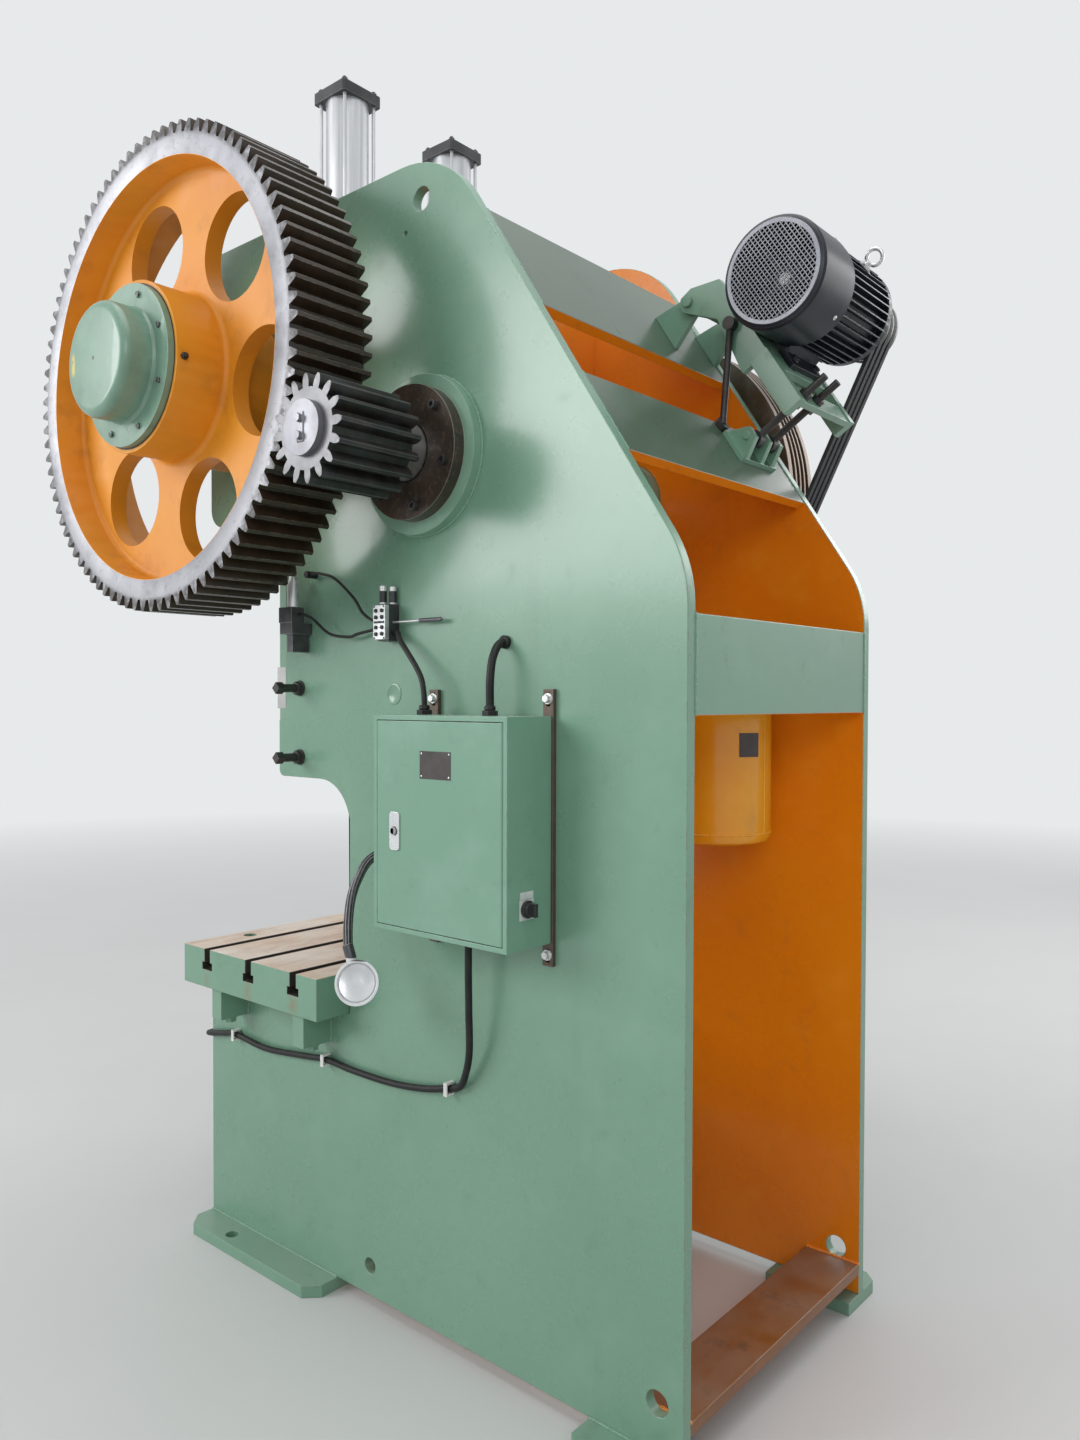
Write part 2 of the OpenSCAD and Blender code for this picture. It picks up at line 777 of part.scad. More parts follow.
// Rim section from one face to the other with its grooves, as [radius, height]
function grooved(r, w) = concat(
    [[r, -w / 2]],
    [for (k = [0:belt_count - 1])
        each [
            [r, belt_x(k) - groove_w / 2], [r - groove_deep, belt_x(k) - groove_w / 2 + 1],
            [r - groove_deep, belt_x(k) + groove_w / 2 - 1], [r, belt_x(k) + groove_w / 2]
        ]],
    [[r, w / 2]]
);
wheel_in = wheel_r - 58;
wheel_web = 36;
wheel_hub_r = 120;
module flywheel() {
    color(orange)
        translate([wheel_mid, shaft_y, shaft_z])
            rotate([0, 90, 0])
                difference() {
                    rotate_extrude($fn = 128)
                        polygon(concat(
                            grooved(wheel_r, flywheel_w),
                            [
                                [wheel_in, flywheel_w / 2], [wheel_in - 14, wheel_web / 2],
                                [wheel_hub_r + 14, wheel_web / 2], [wheel_hub_r, flywheel_w / 2],
                                [(shaft_end_d + run_fit) / 2, flywheel_w / 2],
                                [(shaft_end_d + run_fit) / 2, -flywheel_w / 2],
                                [wheel_hub_r, -flywheel_w / 2], [wheel_hub_r + 14, -wheel_web / 2],
                                [wheel_in - 14, -wheel_web / 2], [wheel_in, -flywheel_w / 2]
                            ]
                        ));
                    for (k = [0:5])
                        rotate(60 * k)
                            translate([(wheel_hub_r + wheel_in) / 2, 0, -wheel_web])
                                cylinder(d = 190, h = 2 * wheel_web);
                }
}
module clutch_housing() {
    x1 = wheel_x - flywheel_w;
    color(green)
        translate([x1, shaft_y, shaft_z])
            rotate([0, -90, 0])
                difference() {
                    union() {
                        cylinder(d = 2 * wheel_hub_r, h = 20);
                        translate([0, 0, 20]) cylinder(d = 320, h = 58);
                        for (k = [0:7])
                            rotate(45 * k) translate([135, 0, 78]) hex_head(14);
                    }
                    translate([0, 0, -1]) cylinder(d = shaft_end_d + run_fit, h = 100);
                }
}

// Motor axes: the motor stands on the slope's base, its own axis along X
motor_end_x = -half_w - 50;
motor_cowl_x = motor_end_x + motor_len;
motor_y = slope_top_y + (upper_slant_low + motor_down) * cos(slope_tilt) + motor_off * sin(slope_tilt);
motor_z = frame_top - (upper_slant_low + motor_down) * sin(slope_tilt) + motor_off * cos(slope_tilt);
rotor_d = 38;
module on_motor() {
    on_slope()
        translate([0, motor_down, motor_off])
            children();
}

// Belts as closed loops around flywheel and pulley
belt_run = norm([motor_y - shaft_y, motor_z - shaft_z]);
belt_aim = atan2(motor_z - shaft_z, motor_y - shaft_y);
function belt_loop(out) =
    let (r1 = wheel_r + out, r2 = pulley_d / 2 + out, wrap = acos((r1 - r2) / belt_run))
    concat(
        [for (i = [0:48]) let (a = wrap + (360 - 2 * wrap) * i / 48) r1 * [cos(a), sin(a)]],
        [for (i = [0:12]) let (a = -wrap + 2 * wrap * i / 12) [belt_run, 0] + r2 * [cos(a), sin(a)]]
    );
module v_belts() {
    color(black)
        for (k = [0:belt_count - 1])
            translate([wheel_mid + belt_x(k), shaft_y, shaft_z])
                rotate([belt_aim, 0, 0])
                    along_x(-belt_w / 2, belt_w)
                        difference() {
                            polygon(belt_loop(belt_rise));
                            polygon(belt_loop(belt_rise - belt_h));
                        }
}
module motor_pulley() {
    w = belt_pitch * (belt_count - 1) + 38;
    color(steel)
        translate([wheel_mid, motor_y, motor_z])
            difference() {
                rotate([0, 90, 0])
                    rotate_extrude($fn = 96)
                        polygon(concat(grooved(pulley_d / 2, w), [[0, w / 2], [0, -w / 2]]));
                bar_x(-w, w, 0, 0, rotor_d + run_fit);
            }
}

// Finned body of the motor with end shields, feet and terminal box
fin_count = 40;
fin_out = cowl_d / 2 - 8;
body_r = fin_out - 22;
shield_t = 22;
core_d = 150;
foot_half = 128;
motor_foot_x = [motor_end_x + 76, motor_end_x + 245];
eye_x = motor_end_x + motor_len / 2;
cowl_t = 2.5;
function fins(n, r0, r1) =
    [for (k = [0:n - 1])
        let (a = 360 * k / n, w = 0.9)
        each [
            r0 * [cos(a - 1.6 * w), sin(a - 1.6 * w)], r1 * [cos(a - w), sin(a - w)],
            r1 * [cos(a + w), sin(a + w)], r0 * [cos(a + 1.6 * w), sin(a + 1.6 * w)]
        ]];
module motor_body() {
    color(black)
        on_motor()
            difference() {
                union() {
                    along_x(motor_end_x + shield_t, motor_len - shield_t)
                        polygon(fins(fin_count, body_r, fin_out));
                    bar_x(motor_end_x, motor_end_x + shield_t, 0, 0, 2 * fin_out - 6);
                    bar_x(motor_cowl_x - shield_t, motor_cowl_x + 12, 0, 0, cowl_d - 2 * cowl_t - 0.6);
                    translate([eye_x, 0, body_r]) cylinder(d = 44, h = fin_out - body_r);
                    along_x(motor_foot_x[0], motor_foot_x[1] - motor_foot_x[0])
                        polygon([
                            [-foot_half, -motor_h], [foot_half, -motor_h], [foot_half, -motor_h + 14],
                            [foot_half - 44, -motor_h + 20], [foot_half - 60, -body_r * 0.45],
                            [-foot_half + 60, -body_r * 0.45], [-foot_half + 44, -motor_h + 20],
                            [-foot_half, -motor_h + 14]
                        ]);
                    translate([motor_end_x + 90, -fin_out - 42, -50]) cube([110, 60, 100]);
                }
                bar_x(motor_end_x - 1, motor_cowl_x + 13, 0, 0, rotor_d + run_fit);
                bar_x(motor_end_x + shield_t, motor_cowl_x - shield_t, 0, 0, core_d);
                translate([motor_foot_x[0] - 1, -foot_half + 60, -motor_h - 1])
                    cube([motor_foot_x[1] - motor_foot_x[0] + 2, 2 * foot_half - 120, 13]);
            }
    color(black)
        on_motor()
            for (x = [motor_foot_x[0] + 25, motor_foot_x[1] - 25])
                for (s = [-1, 1])
                    translate([x, s * (foot_half - 22), -motor_h + 17]) hex_head(12);
}

// Sheet cowl with a square mesh in its end
mesh_pitch = 17;
mesh_hole = 11;
mesh_r = cowl_d / 2 - 22;
module motor_cowl() {
    x1 = motor_cowl_x + cowl_len;
    n = floor(mesh_r / mesh_pitch);
    color("#23272f")
        on_motor() {
            ring_x(motor_cowl_x + 0.3, x1 - 14, 0, 0, cowl_d, cowl_d - 2 * cowl_t);
            translate([x1 - 14, 0, 0])
                rotate([0, 90, 0])
                    rotate_extrude()
                        translate([cowl_d / 2, 0])
                            polygon([
                                [0, 0], [-4, 9], [-13, 14], [-16, 14], [-16, 11], [-6, 7], [-cowl_t, 0]
                            ]);
            along_x(x1 - 3, 3)
                difference() {
                    circle(r = cowl_d / 2 - 15);
                    for (i = [-n:n])
                        for (j = [-n:n])
                            if (norm([i, j]) * mesh_pitch < mesh_r)
                                translate(mesh_pitch * [i, j]) square(mesh_hole, center = true);
                }
        }
}
fan_r = cowl_d / 2 - 26;
module motor_fan() {
    color(black)
        on_motor()
            difference() {
                union() {
                    bar_x(motor_cowl_x + 26, motor_cowl_x + 34, 0, 0, 1.5 * fan_r);
                    bar_x(motor_cowl_x + 26, motor_cowl_x + 92, 0, 0, 60);
                    for (k = [0:7])
                        rotate([45 * k, 0, 0])
                            translate([motor_cowl_x + 32, 20, -3]) cube([52, fan_r - 20, 6]);
                }
                bar_x(motor_cowl_x + 20, motor_cowl_x + 100, 0, 0, rotor_d - 6);
            }
}
module motor_rotor() {
    color(steel)
        on_motor() {
            bar_x(wheel_mid - 40, motor_cowl_x + 6, 0, 0, rotor_d);
            bar_x(motor_cowl_x + 6, motor_cowl_x + 92, 0, 0, rotor_d - 6);
            bar_x(motor_end_x + shield_t + 14, motor_cowl_x - shield_t - 14, 0, 0, core_d - 6);
        }
}
module lifting_eye() {
    color(silver)
        on_motor()
            translate([eye_x, 0, fin_out]) {
                cylinder(d = 14, h = 16, $fn = 24);
                cylinder(d = 34, h = 7, $fn = 32);
                translate([0, 0, 32])
                    rotate([0, 90, 20])
                        rotate_extrude($fn = 32) translate([20, 0]) circle(d = 10, $fn = 16);
            }
}

// Motor base: a plate on two side bars, a strip for the rods and two hinge arms
base_x = [motor_end_x + 22, -half_w + 278];
base_a = [-110, 330];
base_n = motor_off - motor_h;
base_t = 18;
base_bar_w = 21;
base_step = 6;
plate_a = [-80, 212];
hinge_a = -130;
hinge_n = 105;
hinge_pin_d = 28;
arm_x = [-398, -190];
arm_t = 18;
strip_w = 60;
module motor_base() {
    color(green)
        on_slope() {
            difference() {
                translate([base_x[0], plate_a[0], base_n - base_t])
                    cube([base_x[1] - base_x[0], plate_a[1] - plate_a[0], base_t]);
                for (x = [motor_foot_x[0] + 25, motor_foot_x[1] - 25])
                    for (s = [-1, 1])
                        translate([x - 9, motor_down + s * (foot_half - 22) - 26, base_n - base_t - 1])
                            cube([18, 52, base_t + 2]);
            }
            difference() {
                translate([base_x[0], base_a[1] - strip_w, base_n - base_t])
                    cube([base_x[1] - base_x[0], strip_w, base_t]);
                for (x = rod_x)
                    translate([x, tension_a, base_n - base_t - 1])
                        cylinder(d = tension_rod_d + 3, h = base_t + 2);
            }
            for (x = [base_x[0], base_x[1] - base_bar_w]) {
                along_x(x, base_bar_w)
                    polygon([
                        [base_a[0], base_n], [base_a[0], base_n - 52], [plate_a[1] - 60, base_n - 86],
                        [plate_a[1] - 52, base_n]
                    ]);
                along_x(x - (x > base_x[0] ? 0 : base_step), base_bar_w + base_step)
                    polygon([
                        [plate_a[1] - 64, base_n + 4], [plate_a[1] - 64, base_n - 54],
                        [base_a[1], base_n - 54], [base_a[1], base_n + 4]
                    ]);
            }
            for (x = arm_x)
                difference() {
                    along_x(x, arm_t)
                        polygon([
                            [hinge_a - 26, hinge_n - 12], [hinge_a - 14, hinge_n - 27],
                            [hinge_a + 12, hinge_n - 27], [base_a[0] + 150, base_n - base_t],
                            [plate_a[0], base_n - base_t], [plate_a[0], base_n],
                            [base_a[0], base_n], [hinge_a - 26, hinge_n + 26]
                        ]);
                    bar_x(x - 1, x + arm_t + 1, hinge_a, hinge_n, hinge_pin_d);
                }
        }
}
module base_hinge() {
    color(green)
        on_slope() {
            for (x = arm_x)
                difference() {
                    along_x(x - arm_t - 2, arm_t)
                        translate([hinge_a, hinge_n])
                            polygon([
                                [-60, -hinge_n - 2], [60, -hinge_n - 2],
                                [24, 14], [12, 26], [-12, 26], [-24, 14]
                            ]);
                    bar_x(x - arm_t - 3, x + 1, hinge_a, hinge_n, hinge_pin_d);
                }
            bar_x(arm_x[0] - arm_t - 12, arm_x[1] + arm_t + 10, hinge_a, hinge_n, hinge_pin_d);
        }
}

// Cast bracket on the motor seat plate with the pin that holds the tension rods
tension_a = base_a[1] - 26;
tension_n = 46;
tension_x = [-330, -150];
rod_x = [-284, -212];
tension_rod_d = 20;
module tension_bracket() {
    color(green)
        on_slope() {
            translate([tension_x[0], tension_a - 50, -2]) cube([tension_x[1] - tension_x[0], 100, 14]);
            for (x = [tension_x[0] + 14, -259, tension_x[1] - 32])
                difference() {
                    along_x(x, 18)
                        polygon([
                            [tension_a - 48, 12], [tension_a + 48, 12], [tension_a + 18, tension_n + 18],
                            [tension_a - 18, tension_n + 18]
                        ]);
                    bar_x(x - 1, x + 19, tension_a, tension_n, tension_rod_d);
                }
            bar_x(tension_x[0] + 8, tension_x[1] - 8, tension_a, tension_n, tension_rod_d);
        }
}
module tension_rods() {
    color(black)
        on_slope() {
            for (x = rod_x)
                difference() {
                    union() {
                        translate([x, tension_a, tension_n])
                            cylinder(d = tension_rod_d, h = base_n - tension_n + 74, $fn = 24);
                        for (n = [base_n, base_n - base_t - 14.3])
                            translate([x, tension_a, n]) cylinder(d = 34, h = 14.3, $fn = 6);
                        bar_x(x - 12, x + 12, tension_a, tension_n, 44, 32);
                    }
                    bar_x(x - 13, x + 13, tension_a, tension_n, tension_rod_d);
                }
            prop_top = [base_x[1] + 12, 24, base_n - base_t - 20];
            prop_low = [base_x[1] + 12, seat_start + 18, 10];
            prop_dir = prop_top - prop_low;
            translate(prop_low)
                rotate([-atan2(prop_dir.y, prop_dir.z), 0, 0])
                    cylinder(d = 18, h = norm(prop_dir), $fn = 24);
            bar_x(base_x[1], base_x[1] + 24, prop_top.y, prop_top.z, 36, 24);
            translate([prop_low.x, prop_low.y, -2]) cylinder(d = 40, h = 16, $fn = 24);
        }
}

// Connecting rod: lower half of the big end and the shank for the adjusting screw
big_r = pin_d / 2 + 58;
shank_d2 = 146;
shank_len = 500;
cap_bolt_y = pin_d / 2 + 32;
nut_h = 38;
module big_end(sign) {
    along_x(-rod_w / 2, rod_w)
        translate([crank_y, pin_z])
            difference() {
                union() {
                    intersection() {
                        circle(r = big_r, $fn = 96);
                        translate([-big_r, sign > 0 ? 0 : -big_r]) square([2 * big_r, big_r]);
                    }
                    translate([-big_r, sign > 0 ? 0 : -62]) square([2 * big_r, 62]);
                }
                circle(d = pin_d + run_fit, $fn = 96);
            }
}
module connecting_rod() {
    color(steel)
        difference() {
            union() {
                big_end(-1);
                along_x(-rod_w / 2 + 8, rod_w - 16)
                    translate([crank_y, pin_z])
                        polygon([
                            [-big_r * 0.86, -80], [big_r * 0.86, -80],
                            [shank_d2 / 2, -250], [-shank_d2 / 2, -250]
                        ]);
                translate([0, crank_y, pin_z - shank_len]) cylinder(d = shank_d2, h = shank_len - 240);
            }
            bar_x(-rod_w, rod_w, crank_y, pin_z, pin_d + run_fit);
            translate([0, crank_y, pin_z - shank_len - 1]) cylinder(d = screw_d, h = 231);
            for (s = [-1, 1])
                translate([0, crank_y + s * cap_bolt_y, pin_z - 63]) cylinder(d = 26, h = 64);
        }
}
module rod_cap() {
    color(steel)
        difference() {
            union() {
                translate([0, 0, 0.2]) big_end(1);
                for (s = [-1, 1])
                    translate([0, crank_y + s * cap_bolt_y, pin_z + 62]) hex_head(26);
                for (s = [-1, 1])
                    translate([0, crank_y + s * cap_bolt_y, pin_z - 58]) cylinder(d = 26, h = 100, $fn = 24);
            }
            bar_x(-rod_w, rod_w, crank_y, pin_z, pin_d + run_fit);
        }
}
module ball_screw() {
    color(silver)
        translate([0, crank_y, ball_z]) {
            sphere(d = ball_d, $fn = 64);
            cylinder(d = screw_d - 26, h = ball_d / 2 + 30);
            translate([0, 0, ball_d / 2 + 8]) cylinder(d = screw_d, h = rod_len - shank_len + 100);
            translate([0, 0, rod_len - shank_len - nut_h])
                cylinder(d = shank_d2 - 4, h = nut_h - 0.1, $fn = 6);
        }
}

// Slide: a body with guide ribs, a well for the ball and the shank hole below
slide_y0 = crank_y - slide_d / 2;
slide_y1 = crank_y + slide_d / 2;
slide_half = slide_w / 2;
rib_y0 = slide_y1 - rib_t;
well_x = shank_d2 / 2 + 13;
well_y = stroke / 2 + max(ball_d, shank_d2) / 2 + 6;
well_low = ball_z - stroke - ball_d / 2 - 6;
clamp_w = 190;
clamp_h = 96;
bar_slot_low = slide_low + clamp_h + 12;
bar_slot_h = 72;
bar_t = 26;
bar_h = 36;
module slide_body() {
    color(green)
        difference() {
            union() {
                translate([0, 0, slide_low])
                    linear_extrude(slide_h)
                        translate([0, crank_y]) polygon(rounded_box(slide_w, slide_d, 16));
                translate([-slide_half - rib_out, rib_y0, slide_low + 30])
                    cube([slide_w + 2 * rib_out, rib_t, slide_h - 30]);
            }
            translate([-well_x, crank_y - well_y, well_low])
                cube([2 * well_x, 2 * well_y, slide_low + slide_h - well_low + 1]);
            translate([-slide_half - 1, crank_y - bar_t / 2 - 2, bar_slot_low])
                cube([slide_w + 2, bar_t + 4, bar_slot_h]);
            translate([0, crank_y, slide_low - 1]) cylinder(d = shank_d, h = bar_slot_low - slide_low + 1);
            translate([-clamp_w / 2, slide_y0 - 1, slide_low - 1])
                cube([clamp_w, slide_d / 2 + 1, clamp_h + 1]);
        }
}
module tool_clamp() {
    color(dark_steel)
        difference() {
            union() {
                translate([-clamp_w / 2, slide_y0 - 8, slide_low])
                    cube([clamp_w, slide_d / 2 + 7, clamp_h]);
                for (x = [-70, 70])
                    translate([x, slide_y0 - 8, slide_low + clamp_h / 2])
                        rotate([90, 0, 0]) hex_head(24);
            }
            translate([0, crank_y, slide_low - 1]) cylinder(d = shank_d, h = clamp_h + 2);
        }
}
module knockout_bar() {
    color(steel)
        translate([-slide_half - 84, crank_y - bar_t / 2, bar_slot_low + 0.3])
            cube([2 * (slide_half + 84), bar_t, bar_h]);
}

// Guides on the inner faces of the side plates, each grooved for the slide
gib_z0 = throat_top + 15;
gib_z1 = slide_low + slide_h - 14;
gib_front = rib_y0 - 34;
gib_back = slide_y1 + 36;
module slide_gibs() {
    color(steel)
        both_sides() {
            difference() {
                translate([slide_half + 6, gib_front, gib_z0])
                    cube([inner_x - slide_half - 6, gib_back - gib_front, gib_z1 - gib_z0]);
                translate([slide_half, rib_y0 - slide_fit, gib_z0 - 1])
                    cube([rib_out + slide_fit, rib_t + 2 * slide_fit, gib_z1 - gib_z0 + 2]);
            }
            translate([inner_x - 20, guide_y - 40, lip_top + 32])
                cube([half_w - inner_x + 20, 40, 120]);
        }
}
module gib_screws() {
    color(black)
        both_sides()
            for (z = gib_screw_z) {
                bar_x(inner_x, half_w + 62, gib_screw_y, z, gib_screw_d, 32);
                translate([half_w, gib_screw_y, z])
                    rotate([0, 90, 0]) hex_head(gib_screw_d * 0.9);
                translate([half_w + 60, gib_screw_y, z])
                    rotate([45, 0, 0])
                        translate([0, -12, -12]) cube([24, 24, 24]);
            }
}

// Air cylinders that carry the slide's weight, standing on the plate in the head
balance_y = crank_y + balance_back;
balance_low = top_plate_z + cross_t;
balance_cap_t = 32;
balance_bore = balance_tube_d - 14;
module balance_cylinder() {
    translate([balance_x, balance_y, balance_low]) {
        h = balance_top - balance_low;
        difference() {
            for (z = [0, h - balance_cap_t])
                translate([0, 0, z])
                    linear_extrude(balance_cap_t) polygon(rounded_box(balance_cap, balance_cap, 10));
            translate([0, 0, -1]) cylinder(d = balance_rod_d + run_fit, h = balance_cap_t + 2);
        }
        difference() {
            translate([0, 0, balance_cap_t]) cylinder(d = balance_tube_d, h = h - 2 * balance_cap_t);
            translate([0, 0, balance_cap_t - 1]) cylinder(d = balance_bore, h = h - 2 * balance_cap_t + 2);
        }
        for (x = [-1, 1])
            for (y = [-1, 1])
                translate([x, y, 0] * (balance_cap / 2 - 17)) {
                    translate([0, 0, balance_cap_t]) cylinder(d = 11, h = h - 2 * balance_cap_t, $fn = 24);
                    translate([0, 0, h]) cylinder(d = 20, h = 10, $fn = 6);
                    translate([0, 0, h]) cylinder(d = 11, h = 15, $fn = 24);
                }
    }
}
module balance_cylinders() {
    color(silver) both_sides() balance_cylinder();
}
piston_t = 40;
module balance_rods() {
    color(silver)
        both_sides()
            translate([balance_x, balance_y, slide_low + slide_h]) {
                top = balance_top - 2 * balance_cap_t - 20 - slide_low - slide_h;
                cylinder(d = balance_rod_d, h = top);
                translate([0, 0, top - piston_t]) cylinder(d = balance_bore - run_fit, h = piston_t);
                cylinder(d = balance_rod_d + 26, h = 22, $fn = 6);
            }
}

// Control box: a sheet case with an open front, its door and straps
box_y1 = rear_y - box_inset;
box_y0 = box_y1 - box_w;
box_x0 = half_w + strap_t;
box_x1 = box_x0 + box_d;
rim_w = 12;
door_gap = 1.5;
door_t = 14;
gland_y = [box_y0 + 73, box_y1 - 145];
conduit_y = box_y1 - 214;
gland_x = half_w + 62;
module control_box() {
    color(green) {
        for (z = [box_low + rim_w - ear_t, box_low + box_h - rim_w])
            difference() {
                translate([door_pin_x - 8, door_pin_y - 8, z]) cube([14, 20, ear_t]);
                translate([door_pin_x, door_pin_y, z - 1]) cylinder(d = door_pin_d + run_fit, h = ear_t + 2);
            }
        difference() {
            translate([box_x0, box_y0, box_low]) cube([box_d, box_w, box_h]);
            translate([box_x0 + sheet_t, box_y0 + sheet_t, box_low + sheet_t])
                cube([box_d - 2 * sheet_t, box_w - 2 * sheet_t, box_h - 2 * sheet_t]);
            translate([box_x1 - 2 * sheet_t, box_y0 + rim_w, box_low + rim_w])
                cube([3 * sheet_t, box_w - 2 * rim_w, box_h - 2 * rim_w]);
            for (y = gland_y)
                translate([gland_x, y, box_low + box_h - 2 * sheet_t]) cylinder(d = 26, h = 3 * sheet_t);
            translate([gland_x, conduit_y, box_low - sheet_t]) cylinder(d = 26, h = 3 * sheet_t);
        }
    }
}
door_y0 = box_y0 + rim_w + door_gap;
door_y1 = box_y1 - rim_w - door_gap;
door_z0 = box_low + rim_w + door_gap;
door_z1 = box_low + box_h - rim_w - door_gap;
door_pin_d = 6;
door_pin_x = box_x1 - door_t / 2;
door_pin_y = door_y1 - door_t / 2;
ear_t = 5;
lock_y = box_y0 + 78;
lock_z = box_low + 242;
lock_core_d = 19;
module box_door() {
    color(green) {
        difference() {
            translate([box_x1 - door_t, door_y0, door_z0])
                cube([door_t, door_pin_y - door_y0, door_z1 - door_z0]);
            translate([box_x1 - door_t - sheet_t, door_y0 + sheet_t, door_z0 + sheet_t])
                cube([door_t, door_pin_y - door_y0 - 4 * sheet_t, door_z1 - door_z0 - 2 * sheet_t]);
            translate([box_x1 - door_t, lock_y, lock_z])
                rotate([0, 90, 0]) cylinder(d = lock_core_d + run_fit, h = 2 * door_t);
        }
        translate([door_pin_x, door_pin_y, door_z0]) cylinder(d = door_t, h = door_z1 - door_z0);
        translate([door_pin_x, door_pin_y, door_z0 - door_gap - ear_t])
            cylinder(d = door_pin_d, h = door_z1 - door_z0 + 2 * door_gap + 2 * ear_t);
    }
}
lock_plate_t = 4;
module lock_plate() {
    color(silver)
        difference() {
            along_x(box_x1, lock_plate_t)
                translate([lock_y, lock_z]) polygon(rounded_box(34, 92, 9));
            bar_x(box_x1 - 1, box_x1 + lock_plate_t + 1, lock_y, lock_z, 22);
        }
}
module door_lock() {
    color(steel)
        difference() {
            union() {
                bar_x(box_x1 - 8, box_x1 + lock_plate_t + 4, lock_y, lock_z, lock_core_d);
                translate([box_x1 - 12, lock_y - 8, lock_z - 8]) cube([4, 16, 44]);
            }
            translate([box_x1 + lock_plate_t, lock_y - 1.5, lock_z - 6]) cube([6, 3, 12]);
        }
}
knob_x = half_w + 96;
knob_z = box_low + 91;
module main_switch() {
    color(black)
        translate([knob_x, box_y1 + 0.2, knob_z])
            rotate([-90, 0, 0]) {
                cylinder(d = 40, h = 8);
                translate([0, 0, 8]) cylinder(d = 30, h = 6);
                translate([-5, -15, 8]) cube([10, 30, 22]);
            }
}
module control_gear() {
    color(silver) {
        translate([box_x0 + sheet_t, box_y0 + 30, box_low + 30]) cube([3, box_w - 60, box_h - 60]);
        for (z = [box_low + 120, box_low + 250, box_low + 390])
            translate([box_x0 + sheet_t + 3, box_y0 + 50, z]) cube([7, box_w - 100, 35]);
        for (k = [0:3])
            translate([box_x0 + sheet_t + 10, box_y0 + 60 + 62 * k, box_low + 365]) cube([72, 54, 84]);
        for (k = [0:1])
            translate([box_x0 + sheet_t + 10, box_y0 + 70 + 120 * k, box_low + 226]) cube([84, 80, 84]);
        translate([box_x0 + sheet_t + 10, box_y0 + 60, box_low + 112]) cube([40, 290, 50]);
    }
}
strap_y = [box_y0 + 53, box_y1 - 10];
strap_w = 30;
module box_straps() {
    color(dark_steel)
        for (y = strap_y) {
            difference() {
                translate([half_w, y - strap_w / 2, box_low - 54]) cube([strap_t, strap_w, box_h + 116]);
                for (z = [box_low - 46, box_low + box_h + 22])
                    translate([half_w - 1, y - 6, z]) cube([strap_t + 2, 12, 32]);
            }
            for (z = [box_low - 28, box_low + box_h + 40])
                translate([half_w + strap_t, y, z])
                    rotate([0, 90, 0]) {
                        cylinder(d = 26, h = 3, $fn = 24);
                        translate([0, 0, 3]) cylinder(d = 19, h = 9, $fn = 6);
                    }
        }
}

// Cables that the press holds all the way, from the points of their routes
plate_x = half_w + 12;
valve_y = rear_y - 905;
valve_z = 1852;
valve_w = 40;
filter_y = guide_y + 97;
box_top = box_low + box_h;
conduit_d = 18;
clip_points = [
    [plate_x, front_y + 1075, 679], [plate_x, front_y + 585, 642], [plate_x, front_y + 150, 622]
];
front_end = [half_w - 66, front_y - conduit_d / 2 - 4, 592];
conduit_points = [
    [gland_x, conduit_y, box_low - 22], [gland_x - 1, conduit_y - 1, 1000], [gland_x - 8, conduit_y - 6, 900],
    [gland_x - 22, conduit_y - 18, 800], [plate_x + 15, conduit_y - 42, 738],
    [plate_x + 3, front_y + 1116, 695], clip_points[0],
    [plate_x, front_y + 980, 656], [plate_x, front_y + 857, 641], [plate_x, front_y + 700, 638],
    clip_points[1], [plate_x, front_y + 481, 630], [plate_x, front_y + 300, 612],
    clip_points[2], [plate_x, front_y + 80, 612], [plate_x + 1, front_y + 24, 601],
    [half_w + 8, front_end.y + 7, 595], [half_w - 4, front_end.y, 593], front_end
];
hose_up_points = [
    [gland_x, gland_y[0], box_top + 22], [gland_x - 1, gland_y[0] - 3, 1664], [gland_x - 6, 94, 1700],
    [gland_x - 14, 64, 1733], [gland_x - 22, 24, 1770], [gland_x - 32, -16, 1804],
    [gland_x - 39.1, valve_y + valve_w / 2 + 20, 1820], [gland_x - 40, valve_y + valve_w / 2 + 0.5, 1822]
];
hose_in_end = [half_w, gland_y[1] - 6, 1786];
hose_in_points = [
    [gland_x, gland_y[1], box_top + 22], [gland_x, gland_y[1], 1690], [gland_x - 8, gland_y[1] - 1, 1740],
    [gland_x - 26, gland_y[1] - 3, 1772], [half_w + 18, gland_y[1] - 5, 1784], hose_in_end + [8, 0, 0]
];
elbow_y = filter_y + 45;
elbow_z = 1997;
air_tube_points = [
    [
        [half_w + 22, valve_y - valve_w / 2 - 0.5, 1852], [half_w + 24, valve_y - 60, 1858],
        [half_w + 26, valve_y - 98, 1881], [half_w + 28, valve_y - 131, 1921],
        [half_w + 28, valve_y - 209, 1977], [half_w + 27, valve_y - 275, 1996],
        [half_w + 26, elbow_y + 26, elbow_z], [half_w + 25, elbow_y + 8, elbow_z]
    ],
    [
        [half_w + 20, valve_y - valve_w / 2 - 0.5, 1834], [half_w + 20.4, valve_y - 52, 1832.9],
        [half_w + 24, valve_y - 117, 1824], [half_w + 25, valve_y - 156, 1817],
        [half_w + 27, valve_y - 235, 1829], [half_w + 32, valve_y - 301, 1872],
        [half_w + 44.4, filter_y + 45, 1885.3], [half_w + 46, filter_y + 28.5, 1887]
    ]
];
module gland(x, y, z, up) {
    translate([x, y, z])
        rotate([up > 0 ? 0 : 180, 0, 0]) {
            cylinder(d = 34, h = 12, $fn = 6);
            translate([0, 0, 12]) cylinder(d = 27, h = 11.9, $fn = 24);
        }
}
